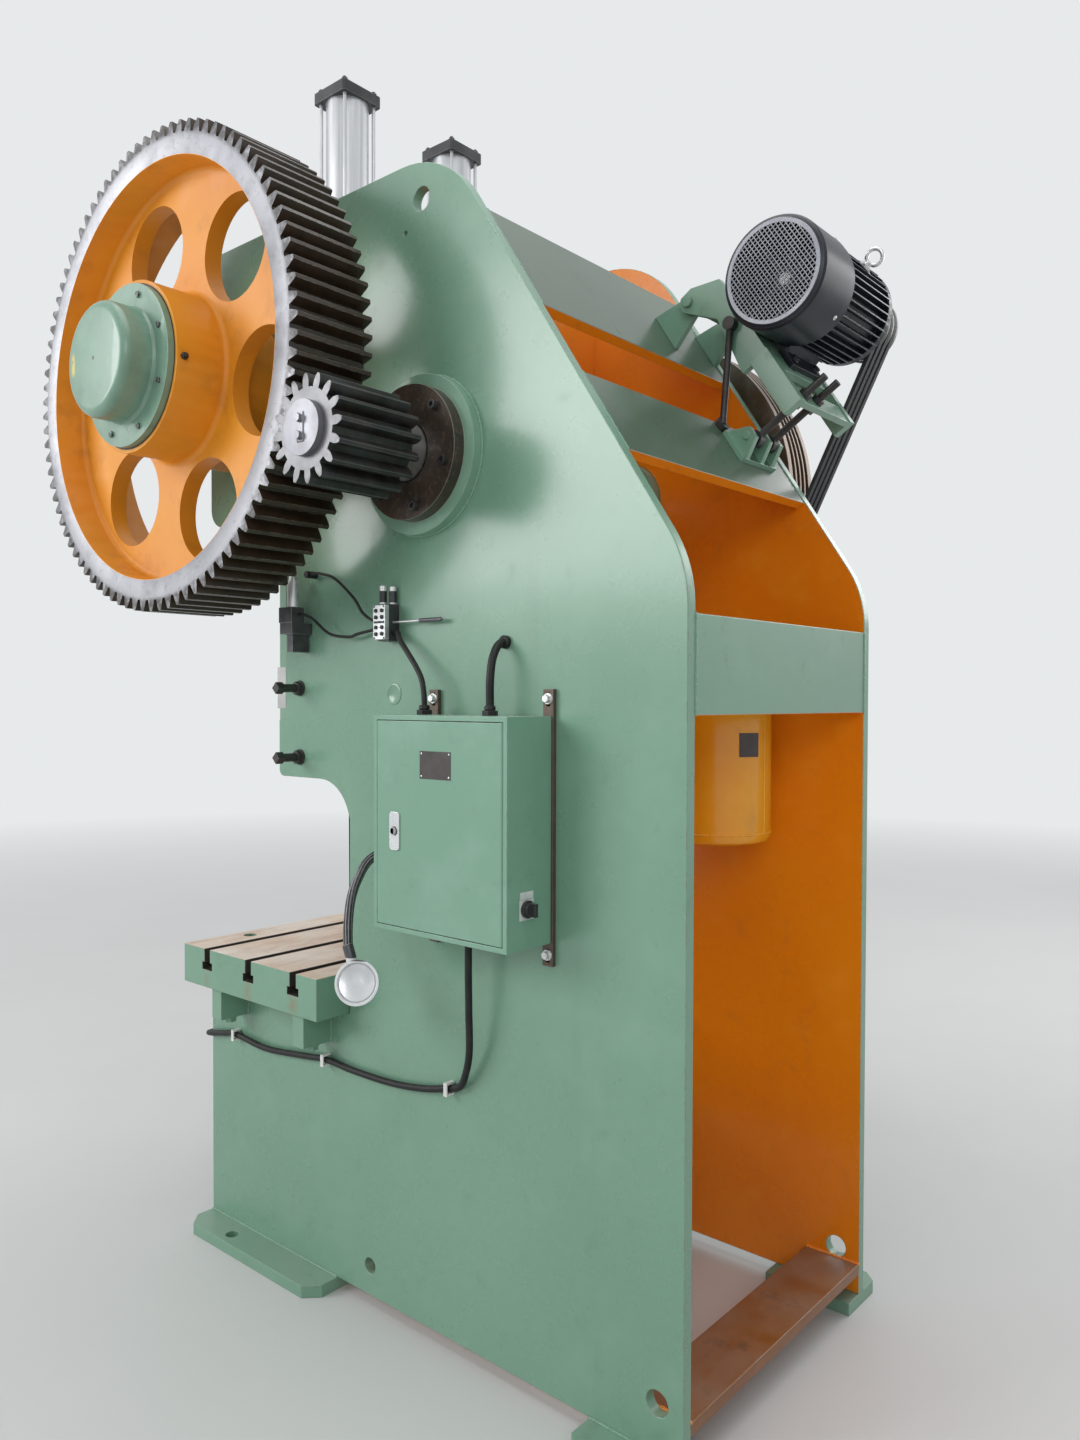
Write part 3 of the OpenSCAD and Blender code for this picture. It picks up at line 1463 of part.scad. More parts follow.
module cables() {
    color(black) {
        tube(spline(conduit_points, 2), conduit_d);
        tube(spline(hose_up_points, 2), 14);
        tube(spline(hose_in_points, 3), 20);
        for (p = air_tube_points) tube(spline(p, 2), 8, 8);
        gland(gland_x, conduit_y, box_low, -1);
        for (y = gland_y) gland(gland_x, y, box_top, 1);
        bar_x(hose_in_end.x, hose_in_end.x + 14, hose_in_end.y, hose_in_end.z, 32, 24);
        translate([front_end.x - 30, front_y - 28, front_end.z - 15]) cube([32, 28, 30]);
        bar_x(half_w, half_w + 36, elbow_y, elbow_z, 20, 24);
    }
}
clip_w = 12;
clip_open = conduit_d + 4;
module cable_clips() {
    color("white")
        for (p = clip_points)
            translate([half_w, p.y, p.z])
                difference() {
                    translate([0, -clip_w / 2, -clip_open / 2 - 6])
                        cube([clip_open + 6, clip_w, clip_open + 12]);
                    translate([-1, -clip_w, -clip_open / 2]) cube([clip_open + 3, 2 * clip_w, clip_open]);
                }
}

// Air valve on the side plate and the filter unit at its front edge
module air_unit() {
    color(silver) {
        translate([half_w, valve_y - valve_w / 2, valve_z - 52]) cube([38, valve_w, 96]);
        translate([half_w + 38, valve_y - 23, valve_z - 48]) cube([14, 46, 88]);
        translate([half_w + 30, valve_y - 9, valve_z + 44]) cylinder(d = 19, h = 48, $fn = 32);
        translate([half_w + 11, valve_y + 8, valve_z + 44]) cylinder(d = 19, h = 46, $fn = 32);
        translate([half_w + 20, valve_y + valve_w / 2, valve_z - 3])
            rotate([-90, 0, 0]) {
                cylinder(d = 6, h = 180, $fn = 16);
                translate([0, 0, 100]) cylinder(d = 11, h = 76, $fn = 16);
            }
        translate([half_w, filter_y - 28, 1831]) cube([70, 56, 32]);
        translate([half_w + 28, filter_y - 30, 1863]) cube([44, 58, 43]);
        translate([half_w + 4, filter_y - 8, 1781]) cube([56, 25, 50]);
        translate([half_w + 50, filter_y + 6, 1906]) cylinder(d = 32, h = 74);
        translate([half_w + 50, filter_y + 6, 1980]) cylinder(d = 22, h = 12, $fn = 32);
    }
}
tank_x = -inner_x + 8 + tank_d / 2;
tank_y = rear_y - 360;
module air_tank() {
    color(orange) {
        translate([tank_x, tank_y, tank_low])
            rotate_extrude($fn = 72)
                polygon([
                    [0, 0], [tank_d / 2 - 26, 0], [tank_d / 2 - 8, 7], [tank_d / 2, 24],
                    [tank_d / 2, tank_len - 24], [tank_d / 2 - 8, tank_len - 7],
                    [tank_d / 2 - 26, tank_len], [0, tank_len]
                ]);
        for (z = [tank_low + 90, tank_low + tank_len - 130])
            translate([-inner_x, tank_y - 60, z]) cube([70, 120, 40]);
        translate([tank_x + 40, tank_y, tank_low + tank_len]) cylinder(d = 34, h = 26, $fn = 6);
        translate([tank_x, tank_y, tank_low - 14]) cylinder(d = 24, h = 15, $fn = 6);
    }
}

// Work lamp: base on the side plate, bent neck and round head
lamp_points = [
    [half_w + 20, -50, 1255], [half_w + 52, -62, 1252], [half_w + 80, -82, 1230], [half_w + 104, -92, 1188],
    [half_w + 124, -94, 1140], [half_w + 142, -84, 1080], [half_w + 154, -70, 1026]
];
lamp_centre = [half_w + 168, -12, 946];
lamp_neck_d = 25;
module work_lamp() {
    color(black) {
        bar_x(half_w, half_w + 20, -50, 1255, 70);
        tube(spline(lamp_points, 3), lamp_neck_d);
        translate([half_w + 154, -70, 1026])
            rotate([24, 0, 0]) translate([0, 0, -60]) cylinder(d = lamp_neck_d + 3, h = 64, $fn = 24);
    }
    color(silver)
        translate(lamp_centre)
            rotate([0, 74, 34])
                rotate_extrude($fn = 64)
                    polygon([
                        [0, -26], [34, -26], [48, -14], [56, 12], [56, 18], [50, 18], [46, 12], [0, 12]
                    ]);
}

side_plate_right();
side_plate_left();
slanted_top_plate();
motor_seat_plate();
rear_cross_plate();
floor_cross_bar();
bed_top_plate();
bed_front_plate();
head_top_plate();
head_cross_plate();
machine_feet();
bolster_brackets();
bolster_plate();
frame_screws();
crank_bearing_right();
crank_bearing_left();
crankshaft();
bull_gear();
gear_cap();
crank_end_cover();
back_bearing_right();
back_bearing_left();
back_shaft();
pinion();
pinion_end_plate();
flywheel();
clutch_housing();
v_belts();
motor_body();
motor_cowl();
motor_fan();
motor_rotor();
motor_pulley();
lifting_eye();
motor_base();
base_hinge();
tension_bracket();
tension_rods();
connecting_rod();
rod_cap();
ball_screw();
slide_body();
tool_clamp();
knockout_bar();
slide_gibs();
gib_screws();
balance_cylinders();
balance_rods();
control_box();
box_door();
lock_plate();
door_lock();
main_switch();
control_gear();
box_straps();
cables();
cable_clips();
air_unit();
air_tank();
work_lamp();
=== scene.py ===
import json
import math

import bmesh
import bpy
from mathutils import Matrix, Vector


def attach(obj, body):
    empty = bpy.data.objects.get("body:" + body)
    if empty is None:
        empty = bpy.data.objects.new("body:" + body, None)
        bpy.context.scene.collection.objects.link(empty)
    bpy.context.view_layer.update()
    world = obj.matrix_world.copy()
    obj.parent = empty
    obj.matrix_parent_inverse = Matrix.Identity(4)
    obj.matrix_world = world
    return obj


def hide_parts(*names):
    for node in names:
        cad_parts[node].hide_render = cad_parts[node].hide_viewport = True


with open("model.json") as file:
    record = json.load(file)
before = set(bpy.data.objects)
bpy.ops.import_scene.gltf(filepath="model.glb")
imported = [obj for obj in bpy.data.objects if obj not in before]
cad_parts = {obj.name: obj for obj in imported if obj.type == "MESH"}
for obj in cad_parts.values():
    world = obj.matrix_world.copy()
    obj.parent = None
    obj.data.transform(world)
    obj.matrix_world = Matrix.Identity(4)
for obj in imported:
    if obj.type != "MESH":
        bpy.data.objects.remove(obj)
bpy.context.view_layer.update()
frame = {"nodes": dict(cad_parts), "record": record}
nodes = frame["nodes"]

# Camera. It stands behind the press on the gear side at eye height and looks slightly
# down, with the long side of its 36 mm sensor upright, as the photograph was taken.
camera_place = Vector((2.320, 2.034, 1.650))
camera_yaw = math.radians(49.44)
camera_pitch = math.radians(-1.104)
camera_roll = 0.00298
ahead = Vector((-math.sin(camera_yaw), -math.cos(camera_yaw), math.tan(camera_pitch))).normalized()
level_right = ahead.cross(Vector((0, 0, 1))).normalized()
level_up = level_right.cross(ahead)
right = level_right * math.cos(camera_roll) + level_up * math.sin(camera_roll)
up = level_up * math.cos(camera_roll) - level_right * math.sin(camera_roll)


def placed(name, data):
    """A new object at the origin, linked to the scene."""
    made = bpy.data.objects.new(name, data)
    bpy.context.scene.collection.objects.link(made)
    return made


camera_data = bpy.data.cameras.new("camera")
camera_data.lens = 26.594
camera_data.clip_end = 200
camera = placed("camera", camera_data)
camera_turn = Matrix((right, up, -ahead)).transposed().to_4x4()
camera.matrix_world = Matrix.Translation(camera_place) @ camera_turn
bpy.context.scene.camera = camera
bpy.context.scene.view_settings.view_transform = "Standard"


# Floor and light. A pale floor that fades into a pale surround, and four large soft lamps
# at a level where a colour renders about as it is written.
class Wire:
    """A socket of a node tree that arithmetic can be written on."""

    def __init__(self, net, socket):
        self.net = net
        self.socket = socket

    def joined(self, operation, first, second=0.0):
        return self.net.node("ShaderNodeMath", {"operation": operation}, {0: first, 1: second})

    def __add__(self, other):
        return self.joined("ADD", self, other)

    def __sub__(self, other):
        return self.joined("SUBTRACT", self, other)

    def __rsub__(self, other):
        return self.joined("SUBTRACT", other, self)

    def __mul__(self, other):
        return self.joined("MULTIPLY", self, other)

    def __truediv__(self, other):
        return self.joined("DIVIDE", self, other)

    def __pow__(self, other):
        return self.joined("POWER", self, other)

    def __gt__(self, other):
        return self.joined("GREATER_THAN", self, other)

    def __lt__(self, other):
        return self.joined("LESS_THAN", self, other)

    def __abs__(self):
        return self.joined("ABSOLUTE", self)

    __radd__ = __add__
    __rmul__ = __mul__

    def sine(self):
        return self.joined("SINE", self)

    def between(self, low, high):
        """0 at low, 1 at high, and held outside."""
        ends = {"Value": self, "From Min": low, "From Max": high}
        return self.net.node("ShaderNodeMapRange", {"clamp": True}, ends)


class Net:
    """A node tree. node() adds one node: its settings first, then its sockets."""

    def __init__(self, tree):
        self.tree = tree
        self.tree.nodes.clear()

    def node(self, kind, settings=None, sockets=None, out=0):
        made = self.tree.nodes.new(kind)
        for key, value in (settings or {}).items():
            setattr(made, key, value)
        for key, value in (sockets or {}).items():
            if isinstance(value, Wire):
                self.tree.links.new(value.socket, made.inputs[key])
            else:
                made.inputs[key].default_value = value
        return Wire(self, made.outputs[out]) if made.outputs else None

    def parts(self, vector):
        split = self.node("ShaderNodeSeparateXYZ", {}, {0: vector}).socket.node
        return [Wire(self, split.outputs[k]) for k in range(3)]


class Finish(Net):
    """One material, built on object coordinates."""

    def __init__(self, name):
        self.material = bpy.data.materials.new(name)
        self.material.use_nodes = True
        super().__init__(self.material.node_tree)
        self.place = self.node("ShaderNodeTexCoord", out="Object")
        self.facing = self.node("ShaderNodeTexCoord", out="Normal")
        self.x, self.y, self.z = self.parts(self.place)
        self.out_x, self.out_y, self.out_z = self.parts(self.facing)

    def noise(self, scale, detail=3.0, roughness=0.55, stretch=None):
        place = self.place
        if stretch:
            place = self.node("ShaderNodeMapping", {}, {"Vector": place, "Scale": stretch})
        sizes = {"Vector": place, "Scale": scale, "Detail": detail, "Roughness": roughness}
        return self.node("ShaderNodeTexNoise", {}, sizes, "Fac")

    def mix(self, factor, first, second):
        first = first if isinstance(first, Wire) else (*first, 1)
        second = second if isinstance(second, Wire) else (*second, 1)
        return self.node("ShaderNodeMix", {"data_type": "RGBA"}, {0: factor, 6: first, 7: second}, 2)

    def radius(self, y, z):
        """Distance from an axis along X through (y, z)."""
        return ((self.y - y) ** 2 + (self.z - z) ** 2) ** 0.5

    def surface(self, colour, rough, metal=0.0, height=None, depth=0.0, **fixed):
        """Ends the finish in its shader; depth is how deep the height goes, in metres."""
        values = {
            "Base Color": colour if isinstance(colour, Wire) else (*colour, 1),
            "Roughness": rough,
            "Metallic": metal,
        }
        if height is not None:
            values["Normal"] = self.node("ShaderNodeBump", {}, {"Height": height, "Distance": depth})
        values.update({key.replace("_", " "): value for key, value in fixed.items()})
        shader = self.node("ShaderNodeBsdfPrincipled", {}, values)
        self.node("ShaderNodeOutputMaterial", {}, {"Surface": shader})
        return self.material


backdrop = (0.80, 0.82, 0.83)
floor_colour = (0.60, 0.60, 0.59)
floor_near, floor_far = 3.0, 13.0
floor_mesh = bpy.data.meshes.new("floor")
floor_shape = bmesh.new()
bmesh.ops.create_grid(floor_shape, x_segments=1, y_segments=1, size=80)
floor_shape.to_mesh(floor_mesh)
floor_shape.free()
floor = placed("floor", floor_mesh)
floor_finish = Finish("floor")
floor_away = ((floor_finish.x**2 + floor_finish.y**2) ** 0.5).between(floor_near, floor_far)
floor_cloud = floor_finish.noise(1.4, 4.0)
floor_tone = floor_finish.mix(floor_cloud, floor_colour, (0.56, 0.56, 0.55))
floor_lit = floor_finish.node(
    "ShaderNodeBsdfPrincipled", {}, {"Base Color": floor_tone, "Roughness": 0.55 + 0.2 * floor_cloud}
)
floor_glow = floor_finish.node("ShaderNodeEmission", {}, {"Color": (*backdrop, 1), "Strength": 1.0})
floor_ends = floor_finish.node("ShaderNodeMixShader", {}, {0: floor_away, 1: floor_lit, 2: floor_glow})
floor_finish.node("ShaderNodeOutputMaterial", {}, {"Surface": floor_ends})
floor_mesh.materials.append(floor_finish.material)

world = bpy.data.worlds.new("studio")
world.use_nodes = True
bpy.context.scene.world = world
sky = Net(world.node_tree)
sky_light = sky.node("ShaderNodeBackground", {}, {"Color": (0.93, 0.96, 1.0, 1), "Strength": 0.50})
sky_seen = sky.node("ShaderNodeBackground", {}, {"Color": (*backdrop, 1), "Strength": 1.0})
sky_path = sky.node("ShaderNodeLightPath")
sky_camera, sky_glossy, sky_through = (
    Wire(sky, sky_path.socket.node.outputs[kind])
    for kind in ("Is Camera Ray", "Is Glossy Ray", "Is Transmission Ray")
)
sky_any = sky_camera + sky_glossy + sky_through
sky_mix = sky.node("ShaderNodeMixShader", {}, {0: sky_any, 1: sky_light, 2: sky_seen})
sky.node("ShaderNodeOutputWorld", {}, {"Surface": sky_mix})


def lamp(name, place, aim, width, height, power):
    data = bpy.data.lights.new(name, "AREA")
    data.shape = "RECTANGLE"
    data.size, data.size_y, data.energy = width, height, power
    made = placed(name, data)
    made.rotation_mode = "QUATERNION"
    made.location = place
    made.rotation_quaternion = (Vector(aim) - Vector(place)).to_track_quat("-Z", "Y")


lamp("front_lamp", (6.5, -4.5, 4.2), (0, 0, 1.6), 5.0, 3.0, 350)
lamp("near_lamp", (5.5, 5.5, 4.8), (0, 0, 1.5), 4.0, 3.0, 105)
lamp("top_lamp", (0.5, 0.5, 8.0), (0, 0, 1.0), 6.0, 6.0, 230)
lamp("far_lamp", (-6.0, 2.0, 4.0), (0, 0, 1.5), 4.0, 3.0, 130)

# Frame plates. Thick steel plates, flame cut, welded, filled and painted: green outside and on the edges,
# orange on the faces that look into the frame, edges worn by handling and lightened all along as a painted
# highlight.
plate_inner = 0.4195
green_tones = ((0.172, 0.318, 0.226), (0.150, 0.288, 0.200), (0.215, 0.372, 0.275))
orange_tones = ((0.880, 0.285, 0.006), (0.720, 0.190, 0.004), (0.900, 0.370, 0.024))
# The floor bar's tones are the orange painted dark and brown: partly dust and dirt, partly painted shade.
shaded_dusty_orange = ((0.240, 0.084, 0.015), (0.165, 0.058, 0.012), (0.340, 0.150, 0.044))
# The slope plates' tones are the same green painted darker: painted shade on plates that face up and back,
# with some dust.
slope_shade_tones = ((0.080, 0.128, 0.084), (0.060, 0.098, 0.066), (0.110, 0.160, 0.110))
dust = (0.36, 0.35, 0.31)
soot = (0.045, 0.048, 0.040)
small_fold, merge_distance, many_corners = math.radians(0.4), 0.00002, 60


def paint(name, tones, inside=None, filler=0.0016, shine=0.30, grime=0.35):
    """Machine paint over filler: a material for faces and one for the edges, which are worn in patches and
    lightened all along as a painted highlight.
    """
    made = []
    for part in ("face", "edge"):
        f = Finish(name + "_" + part)
        slow = f.noise(1.1, 2.0)
        spots = f.noise(6.0, 5.0, 0.6)
        brushed = f.noise(14.0, 3.0, 0.5, (1.0, 1.0, 0.22))
        colour = f.mix(slow.between(0.32, 0.68), tones[0], tones[1])
        colour = f.mix(spots.between(0.50, 0.80) * 0.45, colour, tones[2])
        if inside:
            warm = f.mix(slow.between(0.25, 0.75), orange_tones[0], orange_tones[1])
            warm = f.mix(spots.between(0.55, 0.8) * 0.5, warm, orange_tones[2])
            colour = f.mix(inside(f), colour, warm)
        dusty = f.out_z.between(0.65, 0.98) * f.noise(5.0, 4.0).between(0.30, 0.75)
        colour = f.mix(dusty * 0.35, colour, dust)
        dirt = f.noise(11.0, 6.0, 0.72).between(0.58, 0.80)
        drips = f.noise(9.0, 4.0, 0.6, (1.0, 1.0, 0.10)).between(0.62, 0.80)
        colour = f.mix(dirt * grime, colour, soot)
        colour = f.mix(drips * grime * 0.45, colour, soot)
        waves = f.noise(3.4, 2.0, 0.4) + spots * 0.10 + brushed * 0.12 + f.noise(190.0, 2.0) * 0.014
        rough = spots * 0.12 + dusty * 0.25 + dirt * 0.15 + shine
        if part == "edge":
            worn = f.noise(46.0, 4.0, 0.65).between(0.50, 0.60)
            # Painted highlight: every edge is lightened a quarter toward the light tone; the patches below
            # are real wear.
            colour = f.mix(0.25, colour, tones[2])
            colour = f.mix(worn * 0.55, colour, (0.20, 0.19, 0.16))
        made.append(
            f.surface(colour, rough, 0.0, waves, filler, Coat_Weight=0.22, Coat_Roughness=0.14)
        )
    return made


def finished(name, materials, edge=0.002, angle=30, without=None, cut_wide=False):
    """Shows a CAD node as a merged copy with smooth shading and small rounded edges.

    Faces with a corner where without(place) is true are left out. cut_wide triangulates the
    faces of many corners, which a bevel could otherwise fold.
    """
    shape = bmesh.new()
    shape.from_mesh(nodes[name].data)
    if without:
        open_up = [face for face in shape.faces if any(without(corner.co) for corner in face.verts)]
        bmesh.ops.delete(shape, geom=open_up, context="FACES")
    bmesh.ops.remove_doubles(shape, verts=shape.verts, dist=merge_distance)
    bmesh.ops.dissolve_limit(shape, angle_limit=small_fold, verts=shape.verts, edges=shape.edges)
    if cut_wide:
        wide = [face for face in shape.faces if len(face.verts) > many_corners]
        bmesh.ops.triangulate(shape, faces=wide, ngon_method="BEAUTY")
    for face in shape.faces:
        face.smooth = True
        face.material_index = 0
    mesh = bpy.data.meshes.new(name + "_made")
    shape.to_mesh(mesh)
    shape.free()
    mesh.set_sharp_from_angle(angle=math.radians(angle))
    for material in materials:
        mesh.materials.append(material)
    made = placed(name + "_made", mesh)
    round_edges(made, edge, angle, len(materials) - 1)
    record = frame["record"]
    bodies = record["behaviour"]["bodies"]
    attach(made, next(body for body, held in bodies.items() if name in held))
    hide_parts(name)
    return made


def round_edges(made, width, angle=30, index=0):
    """A narrow bevel on the sharp edges, in the material at index."""
    bevel = made.modifiers.new("edges", "BEVEL")
    bevel.width = width
    bevel.segments = 2
    bevel.limit_method = "ANGLE"
    bevel.angle_limit = math.radians(angle)
    bevel.use_clamp_overlap = False
    bevel.harden_normals = True
    bevel.material = index


def between_plates(f):
    """1 on the faces of the side plates that look at each other."""
    return abs(f.x) < plate_inner + 0.001


def under_slope(f):
    """1 on the lower faces of the plates in the slope."""
    return f.out_z < -0.2


side_paint = paint("side_paint", green_tones, between_plates, 0.0024, 0.22, 0.22)
slope_paint = paint("slope_paint", slope_shade_tones, under_slope, 0.0018, 0.26, 0.5)
green_paint = paint("green_paint", green_tones)
orange_paint = paint("orange_paint", orange_tones, grime=0.5)
for plate in ("side_plate_right", "side_plate_left"):
    finished(plate, side_paint, 0.0025)
for plate in ("slanted_top_plate", "motor_seat_plate"):
    finished(plate, slope_paint, 0.0022)
rear_paint = paint("rear_paint", green_tones, under_slope)
finished("rear_cross_plate", rear_paint, 0.0022)
for plate in ("bed_top_plate", "bed_front_plate", "head_top_plate", "machine_feet"):
    finished(plate, green_paint)
finished("head_cross_plate", orange_paint)
# Its heavy grime is partly painted shade.
finished("floor_cross_bar", paint("bar_paint", shaded_dusty_orange, grime=0.8))


# Welds. One bead follows each joint of the frame: small overlapping ripples, painted over
# with the plates. The beads are laid along the joints by one node group.
class Graph(Net):
    """A geometry node group with named inputs that runs along drawn paths."""

    def __init__(self, name, inputs):
        super().__init__(bpy.data.node_groups.new(name, "GeometryNodeTree"))
        sockets = {"Geometry": "Geometry", **inputs}
        for label, kind in sockets.items():
            self.tree.interface.new_socket(label, in_out="INPUT", socket_type="NodeSocket" + kind)
        out = {"in_out": "OUTPUT", "socket_type": "NodeSocketGeometry"}
        self.tree.interface.new_socket("Geometry", **out)
        given = self.node("NodeGroupInput").socket.node
        self.given = {label: Wire(self, given.outputs[label]) for label in sockets}

    def end(self, geometry):
        """Ends the group with its geometry realized, smooth and painted."""
        whole = self.node("GeometryNodeRealizeInstances", {}, {0: geometry})
        smooth = self.node("GeometryNodeSetShadeSmooth", {}, {"Geometry": whole})
        painted = {"Geometry": smooth, "Material": self.given["Material"]}
        last = self.node("GeometryNodeSetMaterial", {}, painted)
        self.node("NodeGroupOutput", {}, {0: last})

    def run(self, name, paths, **values):
        """A plain object made along the paths, each a list of points."""
        lines = bpy.data.meshes.new(name + "_paths")
        points = [point for path in paths for point in path]
        edges, first = [], 0
        for path in paths:
            edges += [(first + k, first + k + 1) for k in range(len(path) - 1)]
            first += len(path)
        lines.from_pydata(points, edges, [])
        drawn = placed(name + "_paths", lines)
        modifier = drawn.modifiers.new("graph", "NODES")
        modifier.node_group = self.tree
        for item in self.tree.interface.items_tree:
            if item.in_out == "INPUT" and item.name in values:
                modifier[item.identifier] = values[item.name]
        depsgraph = bpy.context.evaluated_depsgraph_get()
        mesh = bpy.data.meshes.new_from_object(drawn.evaluated_get(depsgraph))
        drawn.modifiers.remove(modifier)
        bpy.data.objects.remove(drawn)
        return placed(name, mesh)


def shown(made, body="frame"):
    """Says which body a piece moves with."""
    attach(made, body)
    return made


weld = Graph("weld", {"Width": "Float", "Pitch": "Float", "Seed": "Int", "Material": "Material"})
weld_width, weld_pitch = weld.given["Width"], weld.given["Pitch"]
weld_line = weld.node("GeometryNodeMeshToCurve", {}, {0: weld.given["Geometry"]})
weld_spots = weld.node(
    "GeometryNodeCurveToPoints", {"mode": "LENGTH"}, {"Curve": weld_line, "Length": weld_pitch}
)
weld_turn = Wire(weld, weld_spots.socket.node.outputs["Rotation"])
weld_vary = weld.node(
    "FunctionNodeRandomValue", {"data_type": "FLOAT"}, {2: 0.80, 3: 1.15, "Seed": weld.given["Seed"]}, 1
)
weld_size = weld.node(
    "ShaderNodeCombineXYZ",
    {},
    {0: weld_width * weld_vary, 1: weld_width * weld_vary, 2: weld_pitch * 0.95},
)
weld_ball = weld.node("GeometryNodeMeshUVSphere", {}, {"Segments": 10, "Rings": 5, "Radius": 1.0})
weld_beads = weld.node(
    "GeometryNodeInstanceOnPoints",
    {},
    {"Points": weld_spots, "Instance": weld_ball, "Rotation": weld_turn, "Scale": weld_size},
)
weld.end(weld_beads)

slope_head_y, slope_head_z, slope_deep, slope_high = 0.120, 3.020, 0.715, 1.085
slope_turn = math.atan2(slope_high, slope_deep)
upper_plate_end = 0.536


def on_slope(x, down, off):
    """A place at x, down the slope from the upper plate's low edge and off its face."""
    along = upper_plate_end + down
    y = slope_head_y + along * math.cos(slope_turn) + off * math.sin(slope_turn)
    z = slope_head_z - along * math.sin(slope_turn) + off * math.cos(slope_turn)
    return Vector((x, y, z))


def ring_points(x, y, z, radius, count=96):
    """A closed ring about an axis along X."""
    turns = [2 * math.pi * k / count for k in range(count + 1)]
    return [(x, y + radius * math.cos(a), z + radius * math.sin(a)) for a in turns]


shaft_y, shaft_z = 0.0480649, 2.265
crank_y, crank_z = -0.645, 2.530
bead_outer, bead_inner, foot_top, boss_radius = 0.451, 0.419, 0.036, 0.2005
bracket_starts, bracket_thick = (-0.776, -0.379), 0.050
outer_joints, inner_joints = [], []
for side in (-1, 1):
    outer, inner = side * bead_outer, side * bead_inner
    outer_joints += [
        [(outer, -0.920, foot_top), (outer, -0.310, foot_top)],
        [(outer, 0.590, foot_top), (outer, 0.830, foot_top)],
        ring_points(outer, shaft_y, shaft_z, boss_radius),
        [on_slope(inner, -0.325, -0.003), on_slope(inner, -0.005, -0.003)],
        [on_slope(inner, 0.217, -0.003), on_slope(inner, 0.441, -0.003)],
        [(inner, 0.8345, 1.620), (inner, 0.8345, 1.829)],
    ]
    for start in bracket_starts:
        for y in (start - 0.001, start - 0.001 + bracket_thick):
            outer_joints.append([(outer, y, 0.696), (outer, y, 0.783)])
    inner_joints += [
        [(inner, 0.684, 0.1185), (inner, 0.832, 0.1185)],
        [on_slope(inner, -0.325, -0.0285), on_slope(inner, -0.005, -0.0285)],
        [on_slope(inner, 0.217, -0.0285), on_slope(inner, 0.441, -0.0285)],
        [(inner, 0.8085, 1.620), (inner, 0.8085, 1.829)],
        [(inner, 0.825, 1.6165), (inner, 0.812, 1.6165)],
    ]
for name, joints, material, slot, width, seed in (
    ("outer_welds", outer_joints, green_paint[0], "frame_green", 0.0042, 3),
    ("inner_welds", inner_joints, orange_paint[0], "frame_orange", 0.0046, 8),
):
    shown(weld.run(name, joints, Width=width, Pitch=0.0055, Seed=seed, Material=material))


# Painted plug. A turned steel disc that closes a hole in the near plate above the control
# box, pressed in and painted over with the plate.
class Shape:
    """Collects closed solids; piece() makes one object of them."""

    def __init__(self):
        self.mesh = bmesh.new()

    def block(self, low, high):
        """A block between two corners."""
        low, high = Vector(low), Vector(high)
        made = bmesh.ops.create_cube(self.mesh, size=1.0)["verts"]
        for corner in made:
            corner.co = [(low[k] + high[k]) / 2 + corner.co[k] * (high[k] - low[k]) for k in range(3)]
        return self

    def turned(self, start, axis, profile, sides=32, twist=0.0):
        """Turns a profile of (radius, distance along the axis) points about the axis."""
        start, axis = Vector(start), Vector(axis).normalized()
        across = axis.cross(Vector((0, 0, 1)) if abs(axis.z) < 0.9 else Vector((1, 0, 0))).normalized()
        third = axis.cross(across)
        rings = []
        for radius, along in profile:
            count = sides if radius > 1e-6 else 1
            ring = []
            for k in range(count):
                a = twist + 2 * math.pi * k / sides
                rim = across * math.cos(a) + third * math.sin(a)
                ring.append(self.mesh.verts.new(start + axis * along + rim * radius))
            rings.append(ring)
        closed = profile[0][0] > 1e-6 and profile[-1][0] > 1e-6
        faces = []
        for low, high in zip(rings, rings[1:] + rings[:1] if closed else rings[1:]):
            for k in range(sides):
                n = (k + 1) % sides
                if len(low) == 1 and len(high) == 1:
                    continue
                if len(low) == 1:
                    corners = (low[0], high[n], high[k])
                elif len(high) == 1:
                    corners = (low[k], low[n], high[0])
                else:
                    corners = (low[k], low[n], high[n], high[k])
                faces.append(self.mesh.faces.new(corners))
        bmesh.ops.recalc_face_normals(self.mesh, faces=faces)
        return self

    def rod(self, start, end, radius, sides=24, twist=0.0):
        """A round or many-sided bar between two places."""
        run = Vector(end) - Vector(start)
        profile = [(0, 0), (radius, 0), (radius, run.length), (0, run.length)]
        return self.turned(start, run, profile, sides, twist)

    def nut(self, start, axis, across, height, washer=True, twist=0.0):
        """A hexagon with chamfered corners on a washer; across is over its flats."""
        corner = across / math.sqrt(3)
        lift = 0.16 * across if washer else 0.0
        if washer:
            self.turned(start, axis, [(0, 0), (0.66 * across, 0), (0.66 * across, lift), (0, lift)], 28)
        top = lift + height
        profile = [(0, lift), (corner, lift), (corner, top - 0.12 * height), (0.86 * corner, top), (0, top)]
        return self.turned(start, axis, profile, 6, twist)

    def piece(self, name, materials, slot, body="frame", edge=0.0006, angle=35):
        """Makes the solids one object with rounded edges."""
        mesh = bpy.data.meshes.new(name)
        for face in self.mesh.faces:
            face.smooth = True
        self.mesh.to_mesh(mesh)
        self.mesh.free()
        mesh.set_sharp_from_angle(angle=math.radians(angle))
        for material in materials if isinstance(materials, list) else [materials]:
            mesh.materials.append(material)
        made = placed(name, mesh)
        round_edges(made, edge, angle, len(mesh.materials) - 1)
        return shown(made, body)


plug_seat = (0.449, -0.071, 1.663)
plug_rim = [(0.029, 0), (0.029, 0.0022), (0.0265, 0.0032), (0.0235, 0.0032), (0.021, 0.0014)]
plug = Shape().turned(plug_seat, (1, 0, 0), [(0, 0), *plug_rim, (0, 0.0010)], 48)
plug.piece("painted_plug", side_paint, "frame_green")

